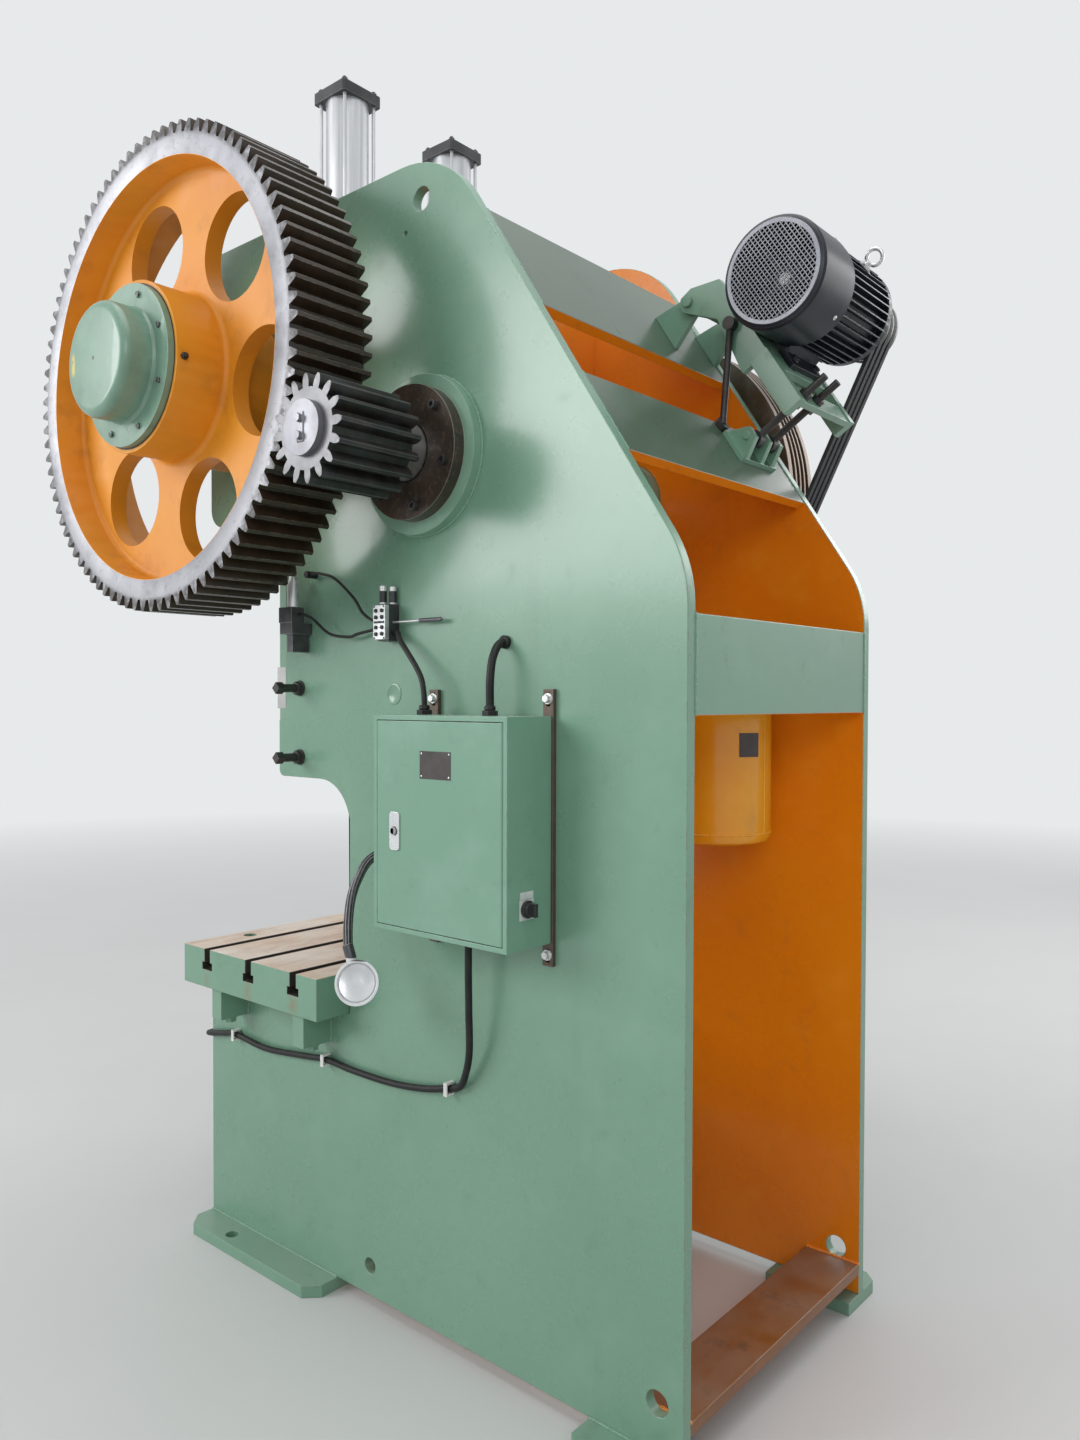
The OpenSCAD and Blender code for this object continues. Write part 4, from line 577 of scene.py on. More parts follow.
# Bolster. A planed cast plate with three T-slots: bare top with flash rust, near-black faces in the slots as
# painted shade, painted sides with rust that has run down below each slot.
slot_places = [-0.5705 + 0.21 * k for k in (-1, 0, 1)]
slot_half, slot_floor = 0.0262, 0.8375
bolster_top = 0.900


def both(finish):
    """The face and the edge material of a finish."""
    return [finish("face"), finish("edge")]


def bolster_finish(part):
    f = Finish("bolster_" + part)
    cloud = f.noise(5.0, 6.0, 0.65)
    fine = f.noise(60.0, 4.0, 0.6)
    smear = f.noise(16.0, 4.0, 0.6, (0.35, 1.0, 1.0))
    green = f.mix(cloud.between(0.3, 0.7), green_tones[0], green_tones[1])
    dirt = f.noise(13.0, 6.0, 0.7).between(0.58, 0.78)
    green = f.mix(dirt * 0.3, green, soot)
    planed = f.mix(cloud.between(0.30, 0.70), (0.70, 0.55, 0.43), (0.80, 0.73, 0.65))
    planed = f.mix(smear.between(0.45, 0.75) * 0.55, planed, (0.44, 0.25, 0.14))
    planed = f.mix(fine.between(0.62, 0.75) * 0.4, planed, (0.16, 0.11, 0.08))
    in_slot, below = 0.0, 0.0
    for y in slot_places:
        off = abs(f.y - y)
        in_slot = in_slot + (off < slot_half)
        below = below + (1 - off.between(0.006, 0.030))
    # Painted shade: every face inside a slot is made near black.
    deep = (f.z > slot_floor) * (f.z < bolster_top - 0.0008) * in_slot * (abs(f.out_x) < 0.6)
    runs = f.noise(30.0, 3.0, 0.5, (1.0, 1.0, 0.06)).between(0.42, 0.60)
    streak = below * runs * (1 - f.z.between(0.800, 0.850)) * f.z.between(0.775, 0.83)
    rim = below * (abs(f.out_x) > 0.6) * f.noise(55.0, 3.0).between(0.5, 0.7) * 0.5
    colour = f.mix(streak * 0.75 + rim, green, (0.26, 0.13, 0.06))
    top = (f.out_z > 0.7) * (f.z > bolster_top - 0.004)
    colour = f.mix(top, colour, planed)
    colour = f.mix(deep, colour, (0.030, 0.026, 0.022))
    if part == "edge":
        colour = f.mix(fine.between(0.45, 0.6) * 0.6, colour, (0.30, 0.24, 0.18))
    lines = f.noise(70.0, 2.0, 0.5, (0.06, 1.0, 1.0))
    height = cloud * 0.5 + fine * 0.10 + top * lines * 0.12
    rough = 0.34 + top * 0.22 + cloud * 0.10 + deep * 0.2
    return f.surface(colour, rough, top * 0.25, height, 0.0012)


finished("bolster_plate", both(bolster_finish), 0.0016)
finished("bolster_brackets", green_paint, 0.0016)

# Large gear. A cast wheel: web, hub and the inside of the rim painted orange, the rim's
# side faces and the teeth machined; black open-gear grease covers the teeth.
rim_inner, teeth_inner = 0.5575, 0.600
cap_joint, hub_end = (0.2118, 0.2160), 0.8642


def grease(f, colour, amount):
    """Black grease over a colour, with brown where it is thin."""
    thick = f.noise(20.0, 5.0, 0.65)
    black = f.mix(thick.between(0.38, 0.62), (0.026, 0.020, 0.016), (0.009, 0.009, 0.010))
    return f.mix(amount, colour, black)


def gear_finish(part):
    f = Finish("gear_" + part)
    r = f.radius(crank_y, crank_z)
    slow, spots, fine = f.noise(2.2, 3.0), f.noise(9.0, 5.0, 0.62), f.noise(70.0, 4.0, 0.6)
    cast = f.mix(slow.between(0.3, 0.7), (0.720, 0.300, 0.014), (0.640, 0.225, 0.008))
    cast = f.mix(spots.between(0.55, 0.78) * 0.45, cast, (0.300, 0.110, 0.020))
    steel = f.mix(slow.between(0.35, 0.65), (0.33, 0.33, 0.35), (0.24, 0.24, 0.26))
    steel = f.mix(spots.between(0.50, 0.72) * 0.5, steel, (0.13, 0.13, 0.14))
    steel = f.mix(fine.between(0.56, 0.70) * 0.35, steel, (0.09, 0.08, 0.07))
    side = (r > rim_inner) * (abs(f.out_x) > 0.7)
    outside = (r > teeth_inner) * (1 - side)
    colour = f.mix(side, cast, steel)
    joint = (f.x > hub_end) * (r > cap_joint[0]) * (r < cap_joint[1])
    colour = f.mix(joint, colour, (0.020, 0.018, 0.016))
    near_teeth = side * r.between(0.604, 0.618) * f.noise(28.0, 5.0, 0.7).between(0.34, 0.58)
    colour = grease(f, colour, near_teeth * 0.92)
    colour = grease(f, colour, outside * 0.97)
    if part == "edge":
        rubbed = fine.between(0.44, 0.58) * (r > teeth_inner)
        colour = f.mix(rubbed * 0.6, colour, (0.24, 0.24, 0.25))
        # Painted highlight: the orange edges are lightened evenly; the grey patches above are wear.
        colour = f.mix(0.25 * (r < rim_inner + 0.0025), colour, (0.80, 0.42, 0.08))
    turned_lines = (r * 1500).sine() * side * 0.02
    height = spots * 0.6 + fine * 0.12 + turned_lines + outside * f.noise(35.0, 4.0, 0.6) * 0.9
    rough = 0.40 - outside * 0.12 + spots * 0.14
    metal = side * 0.75 * (1 - near_teeth)
    return f.surface(colour, rough, metal, height, 0.0014, Coat_Weight=outside * 0.2)


gear_paint = both(gear_finish)
finished("bull_gear", gear_paint, 0.0007, cut_wide=True)
hub_radius, rim_inside, fillet, bury = 0.225, 0.556, 0.016, 0.001
web_faces = ((0.6697, -1), (0.7193, 1))
arc = [math.radians(90 * k / 8) for k in range(9)]
hub_fillet = [(hub_radius + fillet - fillet * math.sin(a), fillet - fillet * math.cos(a)) for a in arc]
rim_fillet = [(rim_inside - fillet + fillet * math.sin(a), fillet - fillet * math.cos(a)) for a in arc]
fillets = Shape()
for face_x, way in web_faces:
    seat = (face_x, crank_y, crank_z)
    for curve, back in ((hub_fillet, hub_radius - bury), (rim_fillet, rim_inside + bury)):
        fillets.turned(seat, (way, 0, 0), [(back, 0), *curve, (back, fillet)], 128)
fillets.piece("gear_fillets", gear_paint[0], "gear_orange", "crank", 0.0002, 50)

cap_screw_ring, cap_flange, cap_crown = 0.1800, 0.8836, 0.9600
smear_y, smear_z = 0.752, 2.530


def cap_finish(part):
    f = Finish("cap_" + part)
    r = f.radius(crank_y, crank_z)
    spots, fine = f.noise(12.0, 5.0, 0.6), f.noise(80.0, 4.0, 0.6)
    green = f.mix(spots.between(0.35, 0.75), (0.140, 0.255, 0.185), (0.190, 0.320, 0.240))
    green = f.mix(f.noise(9.0, 6.0, 0.7).between(0.56, 0.76) * 0.3, green, soot)
    crown = f.x > cap_crown
    screws = (r > cap_screw_ring) * (f.x > cap_flange)
    centre = (r < 0.0055) * crown
    smear_wide = 1 - abs(f.y + smear_y).between(0.004, 0.012)
    smear_high = 1 - abs(f.z - smear_z).between(0.016, 0.034)
    smear = smear_wide * smear_high * f.noise(45.0, 4.0, 0.6).between(0.36, 0.46) * crown
    green = f.mix(smear * 0.85, green, (0.720, 0.520, 0.040))
    colour = f.mix(screws + centre, green, (0.030, 0.032, 0.030))
    if part == "edge":
        # Painted highlight: the edges are lightened evenly.
        colour = f.mix(0.3, colour, (0.42, 0.52, 0.44))
    height = spots * 0.5 + fine * 0.12
    return f.surface(colour, 0.26 + spots * 0.16, 0.0, height, 0.0010, Coat_Weight=0.2)


finished("gear_cap", both(cap_finish), 0.0012)
hub_screw = Shape()
hub_out = Vector((0, 0.9987, -0.0510))
hub_seat = Vector((0.846, crank_y, crank_z)) + hub_out * 0.2245
hub_screw.nut(hub_seat, hub_out, 0.017, 0.010, False)
hub_screw.rod(hub_seat + hub_out * 0.009, hub_seat + hub_out * 0.016, 0.0048)


def steel(name, light, dark, rough=0.32, metal=0.8, rust=0.25, turned=None):
    """Bare or plated metal, a face and an edge material; turned is the axis of tool marks."""
    made = []
    for part in ("face", "edge"):
        f = Finish(name + "_" + part)
        slow, spots, fine = f.noise(7.0, 3.0), f.noise(24.0, 5.0, 0.65), f.noise(120.0, 3.0)
        colour = f.mix(slow.between(0.3, 0.7), light, dark)
        colour = f.mix(spots.between(0.56, 0.76) * rust, colour, (0.20, 0.10, 0.05))
        if part == "edge":
            # Painted highlight: the edges are lightened evenly.
            colour = f.mix(0.4, colour, tuple(min(1.0, 1.35 * tone) for tone in light))
        height = spots * 0.4 + fine * 0.2
        if turned:
            height = height + (f.radius(*turned) * 2600).sine() * 0.08
        made.append(f.surface(colour, spots * 0.22 + (rough - 0.1), metal, height, 0.0006))
    return made


def moulded(name, tone, rough=0.42, dusty=0.25, coat=0.0):
    """Rubber, plastic or thin paint over metal, with dust on what faces up."""
    made = []
    for part in ("face", "edge"):
        f = Finish(name + "_" + part)
        spots, fine = f.noise(18.0, 4.0, 0.6), f.noise(160.0, 2.0)
        dark, light = tuple(0.82 * t for t in tone), tuple(min(1.0, 1.12 * t + 0.01) for t in tone)
        colour = f.mix(spots.between(0.35, 0.7), dark, light)
        lying = f.out_z.between(0.3, 0.95) * f.noise(30.0, 4.0).between(0.35, 0.7)
        colour = f.mix(lying * dusty, colour, (0.42, 0.40, 0.36))
        if part == "edge":
            # Painted highlight: the edges are lightened evenly.
            colour = f.mix(0.25, colour, tuple(min(1.0, 1.5 * t + 0.03) for t in tone))
        rough_now = spots * 0.15 + lying * 0.2 + (rough - 0.06)
        height = spots * 0.3 + fine * 0.12
        made.append(
            f.surface(colour, rough_now, 0.0, height, 0.0006, Coat_Weight=coat, Specular_IOR_Level=0.3)
        )
    return made


black_steel = steel("black_steel", (0.060, 0.058, 0.056), (0.035, 0.034, 0.034), 0.40, 0.55, 0.3)
hub_screw.piece("hub_set_screw", black_steel, "black_steel", "crank")

# Pinion on the back shaft. Machined steel: grease on the teeth, a pale end face, and a
# plate with a locking strip that holds it on the shaft.
pinion_teeth, pinion_flanks = 0.090, (0.108, 0.126)


def pinion_finish(part):
    f = Finish("pinion_" + part)
    r = f.radius(shaft_y, shaft_z)
    fine, spots = f.noise(60.0, 4.0, 0.6), f.noise(16.0, 5.0, 0.65)
    end = abs(f.out_x) > 0.7
    pale = f.mix(spots.between(0.35, 0.7), (0.190, 0.190, 0.200), (0.130, 0.130, 0.140))
    pale = f.mix(fine.between(0.55, 0.70) * 0.5, pale, (0.14, 0.13, 0.12))
    flank = (1 - end) * (r > pinion_teeth)
    colour = grease(f, pale, flank * (0.85 + 0.15 * f.noise(11.0, 5.0, 0.7).between(0.35, 0.55)))
    colour = grease(f, colour, end * r.between(*pinion_flanks) * fine.between(0.42, 0.60) * 0.8)
    if part == "edge":
        # Painted highlight: the edges are lightened evenly.
        colour = f.mix(0.3, colour, (0.20, 0.20, 0.21))
    height = spots * 0.5 + fine * 0.2 + end * (r * 1800).sine() * 0.05
    return f.surface(colour, 0.30 + spots * 0.15, 0.45 - 0.40 * flank, height, 0.0008)


finished("pinion", both(pinion_finish), 0.0010)
zinc = steel("zinc", (0.70, 0.71, 0.71), (0.55, 0.56, 0.57), 0.28, 0.75, 0.12)
bare = steel("bare_steel", (0.46, 0.46, 0.45), (0.30, 0.30, 0.30), 0.34, 0.85, 0.3)
end_steel = steel("end_steel", (0.24, 0.24, 0.26), (0.16, 0.16, 0.18), 0.36, 0.5, 0.2)
finished("pinion_end_plate", end_steel, 0.0008)
finished("back_shaft", bare, 0.0010)

# Bearings of the crankshaft and the back shaft. Green cast bosses; on the near side the
# back shaft has a dark ring held by black screws.
ring_edge, ring_back = 0.1685, 0.4795


def bearing_finish(part):
    f = Finish("bearing_" + part)
    r = f.radius(shaft_y, shaft_z)
    spots, fine = f.noise(12.0, 5.0, 0.6), f.noise(70.0, 4.0, 0.6)
    green = f.mix(spots.between(0.35, 0.75), green_tones[0], green_tones[2])
    green = f.mix(f.noise(9.0, 6.0, 0.7).between(0.55, 0.75) * 0.3, green, soot)
    ring = (r < ring_edge) * (abs(f.x) > ring_back)
    brown = f.mix(spots.between(0.4, 0.7), (0.072, 0.050, 0.034), (0.034, 0.029, 0.025))
    brown = f.mix(fine.between(0.52, 0.66) * 0.4, brown, (0.16, 0.13, 0.11))
    colour = f.mix(ring, green, brown)
    if part == "edge":
        # Painted highlight: the edges are lightened evenly.
        colour = f.mix(0.3, colour, (0.26, 0.26, 0.22))
    height = spots * 0.6 + fine * 0.10
    return f.surface(colour, 0.30 + spots * 0.15, ring * 0.4, height, 0.0012, Coat_Weight=0.2)


bearing_paint = both(bearing_finish)
for bearing in ("back_bearing_right", "back_bearing_left"):
    finished(bearing, bearing_paint, 0.0014)
for casting in ("crank_bearing_right", "crank_bearing_left", "crank_end_cover"):
    finished(casting, green_paint, 0.0014)
finished("frame_screws", black_steel, 0.0007)

# Flywheel and belts. A cast wheel, orange with a bare turned rim; four rubber belts run
# over it from the motor's pulley.
wheel_rim = 0.457


def flywheel_finish(part):
    f = Finish("flywheel_" + part)
    r = f.radius(shaft_y, shaft_z)
    spots, fine = f.noise(8.0, 5.0, 0.62), f.noise(60.0, 4.0, 0.6)
    cast = f.mix(f.noise(2.0, 3.0).between(0.3, 0.7), (0.740, 0.280, 0.012), (0.640, 0.200, 0.008))
    cast = f.mix(spots.between(0.55, 0.78) * 0.4, cast, (0.300, 0.110, 0.020))
    rim = f.mix(spots.between(0.35, 0.65), (0.150, 0.095, 0.060), (0.250, 0.210, 0.180))
    bare_rim = r > wheel_rim
    colour = f.mix(bare_rim, cast, rim)
    if part == "edge":
        # Painted highlight: the edges are lightened evenly.
        colour = f.mix(0.3, colour, (0.42, 0.36, 0.30))
    height = spots * 0.6 + fine * 0.12 + bare_rim * (r * 1500).sine() * 0.03
    return f.surface(colour, 0.34 + spots * 0.16, bare_rim * 0.6, height, 0.0013)


finished("flywheel", both(flywheel_finish), 0.0012)
finished("clutch_housing", green_paint, 0.0012)
finished("motor_pulley", steel("pulley", (0.20, 0.19, 0.18), (0.12, 0.11, 0.11), 0.38, 0.6), 0.0005)
finished("v_belts", moulded("belts", (0.040, 0.040, 0.042), 0.55, 0.35), 0.0006)

# Motor. A finned body and a pressed cowl in glossy blue-black enamel; the cowl's end with
# its square mesh is rubbed to a light grey, its screws and the lifting eye are zinc plated.
motor_y, motor_z = 0.7419, 2.7124
cowl_end = -0.068
cowl_edge = 0.128


def motor_finish(part):
    f = Finish("motor_" + part)
    r = f.radius(motor_y, motor_z)
    spots, fine = f.noise(15.0, 5.0, 0.6), f.noise(110.0, 3.0)
    colour = f.mix(spots.between(0.35, 0.75), (0.010, 0.012, 0.018), (0.018, 0.021, 0.030))
    lying = f.out_z.between(0.4, 0.95) * f.noise(12.0, 4.0).between(0.3, 0.7)
    colour = f.mix(lying * 0.18, colour, (0.26, 0.25, 0.23))
    disc = (f.x > cowl_end - 0.006) * (r < cowl_edge)
    rubbed = f.mix(spots.between(0.35, 0.65), (0.38, 0.39, 0.42), (0.20, 0.21, 0.23))
    colour = f.mix(disc * (0.6 + 0.4 * fine.between(0.35, 0.5)), colour, rubbed)
    if part == "edge":
        # Painted highlight: the edges are lightened evenly.
        colour = f.mix(0.2, colour, (0.20, 0.21, 0.22))
    height = spots * 0.4 + fine * 0.15
    rough = 0.28 + spots * 0.12 + lying * 0.25
    return f.surface(colour, rough, disc * 0.4, height, 0.0008, Specular_IOR_Level=0.32)


enamel = both(motor_finish)
finished("motor_body", enamel, 0.0010)
mesh_edge, mesh_back = 0.1262, cowl_end - 0.0035


def in_cowl_mesh(p):
    """True in the coarse mesh of the CAD cowl, which the fine wires take the place of."""
    return p.x > mesh_back and math.hypot(p.y - motor_y, p.z - motor_z) < mesh_edge


finished("motor_cowl", enamel, 0.0006, without=in_cowl_mesh)
wires = Graph("wires", {"Radius": "Float", "Material": "Material"})
wire_lines = wires.node("GeometryNodeMeshToCurve", {}, {0: wires.given["Geometry"]})
wire_circle = {"Resolution": 6, "Radius": wires.given["Radius"]}
wire_profile = wires.node("GeometryNodeCurvePrimitiveCircle", {"mode": "RADIUS"}, wire_circle)
wire_sweep = {"Curve": wire_lines, "Profile Curve": wire_profile, "Fill Caps": True}
wires.end(wires.node("GeometryNodeCurveToMesh", {}, wire_sweep))
grille_middle = Vector((cowl_end - 0.0015, motor_y, motor_z))
mesh_pitch, mesh_out, wire_radius, wire_lift = 0.0100, 0.1195, 0.0016, 0.0005
slope_way = Vector((0, math.cos(slope_turn), -math.sin(slope_turn)))
cross_way = Vector((0, -slope_way.z, slope_way.y))
wire_paths = []
for along, across, lift in ((slope_way, cross_way, wire_lift), (cross_way, slope_way, -wire_lift)):
    for k in range(-11, 12):
        half = math.sqrt(mesh_out**2 - (k * mesh_pitch) ** 2)
        centre = grille_middle + across * (k * mesh_pitch) + Vector((lift, 0, 0))
        wire_paths.append([centre - along * half, centre + along * half])
grille_wire = steel("grille_wire", (0.30, 0.31, 0.34), (0.20, 0.21, 0.24), 0.42, 0.3, 0.1)
shown(wires.run("cowl_grille", wire_paths, Radius=wire_radius, Material=grille_wire[0]))
rim_profile = [(0.1175, -0.0014), (0.1175, 0.0012), (0.1272, 0.0012), (0.1272, -0.0014)]
grille_rim = Shape().turned(grille_middle, (1, 0, 0), rim_profile, 72)
grille_rim.piece("grille_rim", grille_wire, "motor_black", edge=0.0001, angle=50)
finished("motor_fan", moulded("fan", (0.05, 0.05, 0.055), 0.5), 0.0008)
finished("motor_rotor", bare, 0.0008)
finished("lifting_eye", zinc, 0.0004)
heads = Graph("heads", {"Head": "Object", "Material": "Material"})
head_lines = heads.node("GeometryNodeMeshToCurve", {}, {0: heads.given["Geometry"]})
head_seats = heads.node("GeometryNodeCurveToPoints", {"mode": "COUNT"}, {"Curve": head_lines, "Count": 1})
head_turn = Wire(heads, head_seats.socket.node.outputs["Rotation"])
head_form = heads.node("GeometryNodeObjectInfo", {}, {"Object": heads.given["Head"]}, "Geometry")
head_places = {"Points": head_seats, "Instance": head_form, "Rotation": head_turn}
heads.end(heads.node("GeometryNodeInstanceOnPoints", {}, head_places))
head_stub, head_angle = 0.001, 35


def set_heads(name, profile, sides, seats, body="frame", edge=0.0006):
    """Plated screw or rivet heads, one at each seat of (place, outward direction)."""
    one = bpy.data.meshes.new(name + "_one")
    Shape().turned((0, 0, 0), (0, 0, 1), profile, sides).mesh.to_mesh(one)
    pattern = placed(name + "_one", one)
    paths = [[place, place + outward * head_stub] for place, outward in seats]
    made = heads.run(name, paths, Head=pattern, Material=zinc[0])
    bpy.data.objects.remove(pattern)
    made.data.set_sharp_from_angle(angle=math.radians(head_angle))
    made.data.materials.append(zinc[1])
    round_edges(made, edge, head_angle, 1)
    shown(made, body)


cowl_middle, cowl_skin, screw_seats = Vector((cowl_end - 0.143, motor_y, motor_z)), 0.1385, []
for turn in range(4):
    angle = math.radians(45 + 90 * turn)
    outward = Vector((0, math.cos(angle), math.sin(angle)))
    screw_seats.append((cowl_middle + outward * cowl_skin, outward))
screw_head = [(0, 0), (0.0065, 0), (0.0065, 0.0025), (0.0035, 0.0040), (0, 0.0042)]
set_heads("cowl_screws", screw_head, 20, screw_seats)
for holder in ("motor_base", "base_hinge", "tension_bracket"):
    finished(holder, green_paint, 0.0012)
finished("tension_rods", black_steel, 0.0006)

# Crank train and slide. Forged crankshaft and rod, a cast green slide between bare guides,
# a clamp for the punch, and a knockout bar through the slide.
for part in ("crankshaft", "connecting_rod", "rod_cap", "knockout_bar"):
    finished(part, bare, 0.0012)
finished("ball_screw", zinc, 0.0004)
finished("slide_body", green_paint, 0.0016)
dark_steel = steel("dark_steel", (0.150, 0.125, 0.105), (0.085, 0.070, 0.060), 0.42, 0.6, 0.5)
finished("tool_clamp", dark_steel, 0.0010)
finished("slide_gibs", bare, 0.0010)
finished("gib_screws", black_steel, 0.0006)

# Balance cylinders. Two air cylinders on the head: bright tubes between black square caps
# that four tie rods hold together; their plated rods go down to the slide.
silver = steel("silver", (0.80, 0.81, 0.81), (0.66, 0.67, 0.68), 0.26, 0.65, 0.06)
cap_low, cap_high = 2.9585, 3.4475


def cylinder_finish(part):
    f = Finish("cylinder_" + part)
    spots, fine = f.noise(16.0, 5.0, 0.6), f.noise(110.0, 3.0)
    drawn = f.noise(60.0, 3.0, 0.5, (1.0, 1.0, 0.03))
    tube = f.mix(drawn.between(0.35, 0.65), (0.66, 0.67, 0.69), (0.50, 0.51, 0.53))
    cap = (f.z > cap_high) + (f.z < cap_low)
    black = f.mix(spots.between(0.4, 0.7), (0.030, 0.031, 0.034), (0.060, 0.060, 0.064))
    lying = f.out_z.between(0.5, 0.95) * spots.between(0.35, 0.6)
    black = f.mix(lying * 0.3, black, (0.30, 0.29, 0.27))
    colour = f.mix(cap, tube, black)
    if part == "edge":
        # Painted highlight: the edges are lightened evenly.
        colour = f.mix(0.25, colour, (0.60, 0.60, 0.60))
    height = drawn * 0.3 + fine * 0.2
    return f.surface(colour, 0.24 + spots * 0.14, 0.65 - cap * 0.5, height, 0.0006)


finished("balance_cylinders", both(cylinder_finish), 0.0008)
finished("balance_rods", zinc, 0.0006)

# Control box. Folded sheet in pale green paint with a door, a blank dark plate held by four
# rivets, a lock on a bright plate, and the main switch on its rear side.
box_tones = ((0.180, 0.340, 0.245), (0.155, 0.305, 0.215), (0.270, 0.440, 0.345))
box_paint = paint("box_paint", box_tones, None, 0.0007, 0.24, 0.20)
finished("control_box", box_paint, 0.0012)
finished("box_door", box_paint, 0.0014)
finished("control_gear", moulded("gear_plastic", (0.55, 0.55, 0.52), 0.45), 0.0008)
finished("lock_plate", silver, 0.0008)
finished("door_lock", bare, 0.0006)
finished("main_switch", moulded("knob", (0.022, 0.022, 0.024), 0.32, 0.15, 0.3), 0.0010)


strap_face = 0.4622


def strap_finish(part):
    f = Finish("strap_" + part)
    spots, fine = f.noise(20.0, 5.0, 0.65), f.noise(90.0, 3.0)
    colour = f.mix(spots.between(0.35, 0.7), (0.120, 0.085, 0.062), (0.070, 0.055, 0.046))
    colour = f.mix(spots.between(0.60, 0.75) * 0.6, colour, (0.250, 0.120, 0.060))
    screw = f.x > strap_face
    bright = f.mix(fine.between(0.4, 0.6), (0.72, 0.73, 0.73), (0.55, 0.56, 0.56))
    colour = f.mix(screw, colour, bright)
    if part == "edge":
        # Painted highlight: the edges are lightened evenly.
        colour = f.mix(0.25, colour, (0.40, 0.36, 0.32))
    height = spots * 0.4 + fine * 0.2
    return f.surface(colour, spots * 0.2 + 0.32, 0.35 + screw * 0.35, height, 0.0007)


finished("box_straps", both(strap_finish), 0.0008)
door_face, rivet_inset = 0.612, 0.006
plate_y, plate_z = (0.202, 0.305), (1.464, 1.529)
plate_corners = [(door_face + x, plate_y[k], plate_z[k]) for k, x in enumerate((-0.0004, 0.0007))]
door_plate = Shape().block(*plate_corners)
blank_plate = moulded("blank_plate", (0.060, 0.052, 0.048), 0.34, 0.1, 0.2)
door_plate.piece("door_plate", blank_plate, "black_steel", "door", 0.0002)
rivet_seats = []
for y in (plate_y[0] + rivet_inset, plate_y[1] - rivet_inset):
    for z in (plate_z[0] + rivet_inset, plate_z[1] - rivet_inset):
        rivet_seats.append((Vector((door_face + 0.0004, y, z)), Vector((1, 0, 0))))
rivet_head = [(0, 0), (0.0026, 0), (0.0022, 0.0009), (0.0012, 0.0014), (0, 0.0015)]
set_heads("door_rivets", rivet_head, 16, rivet_seats, "door", 0.0002)
rear_y = 0.478
switch_plate = Shape()
switch_plate.block((0.524, rear_y - 0.0004, 1.206), (0.568, rear_y + 0.0006, 1.222))
switch_plate.block((0.522, rear_y - 0.0004, 1.159), (0.570, rear_y + 0.0004, 1.205))
pale_plate = moulded("pale_plate", (0.62, 0.64, 0.62), 0.38, 0.1)
switch_plate.piece("switch_plate", pale_plate, "bright_metal", edge=0.0002)

# Hoses, conduit and air tubes. Black rubber and plastic swept along their routes, given in
# millimetres; the two conduits are ribbed. The box has hexagonal glands, the frame round ones.
hose = Graph("hose", {"Radius": "Float", "Rib": "Float", "Pitch": "Float", "Material": "Material"})
hose_line = hose.node("GeometryNodeMeshToCurve", {}, {0: hose.given["Geometry"]})
hose_curve = hose.node("GeometryNodeCurveSplineType", {"spline_type": "CATMULL_ROM"}, {0: hose_line})
hose_fine = hose.node("GeometryNodeSetSplineResolution", {}, {0: hose_curve, "Resolution": 24})
hose_steps = hose.node(
    "GeometryNodeResampleCurve", {"mode": "LENGTH"}, {0: hose_fine, "Length": hose.given["Pitch"] / 4}
)
hose_index = hose.node("GeometryNodeInputIndex")
hose_wave = (hose_index * (math.pi / 2)).sine() * hose.given["Rib"]
hose_round = hose.node("GeometryNodeSetCurveRadius", {}, {0: hose_steps, "Radius": hose_wave + 1.0})
hose_profile = hose.node(
    "GeometryNodeCurvePrimitiveCircle", {"mode": "RADIUS"}, {"Resolution": 20, "Radius": hose.given["Radius"]}
)
hose_sweep = {"Curve": hose_round, "Profile Curve": hose_profile, "Fill Caps": True}
hose.end(hose.node("GeometryNodeCurveToMesh", {}, hose_sweep))
hose_rubber = moulded("hose_rubber", (0.008, 0.008, 0.009), 0.46, 0.08)
routes = {
    "conduit": (0.0088, 0.022, 0.0050, [
        (512, 264, 1092), (512, 264, 1070), (511, 263, 1000), (504, 258, 900), (490, 246, 800),
        (477, 222, 738), (465, 191, 695), (462, 150, 679), (462, 55, 656), (462, -68, 641),
        (462, -225, 638), (462, -340, 642), (462, -444, 630), (462, -625, 612), (462, -775, 622),
        (462, -845, 612), (463, -901, 601), (458, -931, 595), (446, -938, 593), (384, -938, 592),
    ]),
    "hose_up": (0.0070, 0.0, 0.0160, [
        (512, 111, 1622), (512, 111, 1634), (511, 108, 1664), (506, 94, 1700), (498, 64, 1733),
        (490, 24, 1770), (480, -16, 1804), (472.9, -30, 1820), (472, -49.5, 1822),
    ]),
    "hose_in": (0.0097, 0.025, 0.0050, [
        (512, 333, 1622), (512, 333, 1634), (512, 333, 1690), (504, 332, 1740), (486, 330, 1772),
        (468, 328, 1784), (458, 327, 1786),
    ]),
    "air_tube_high": (0.0040, 0.0, 0.0160, [
        (472, -90.5, 1852), (474, -130, 1858), (476, -168, 1881), (478, -201, 1921), (478, -279, 1977),
        (477, -345, 1996), (476, -372, 1997), (475, -390, 1997),
    ]),
    "air_tube_low": (0.0040, 0.0, 0.0160, [
        (470, -90.5, 1834), (470.4, -122, 1832.9), (474, -187, 1824), (475, -226, 1817), (477, -305, 1829),
        (482, -371, 1872), (494.4, -398, 1885.3), (496, -414.5, 1887),
    ]),
}
for name, (radius, rib, pitch, route) in routes.items():
    path = [tuple(value / 1000 for value in point) for point in route]
    tube = hose.run(name, [path], Radius=radius, Rib=rib, Pitch=pitch, Material=hose_rubber[0])
    shown(tube)
fittings = Shape()
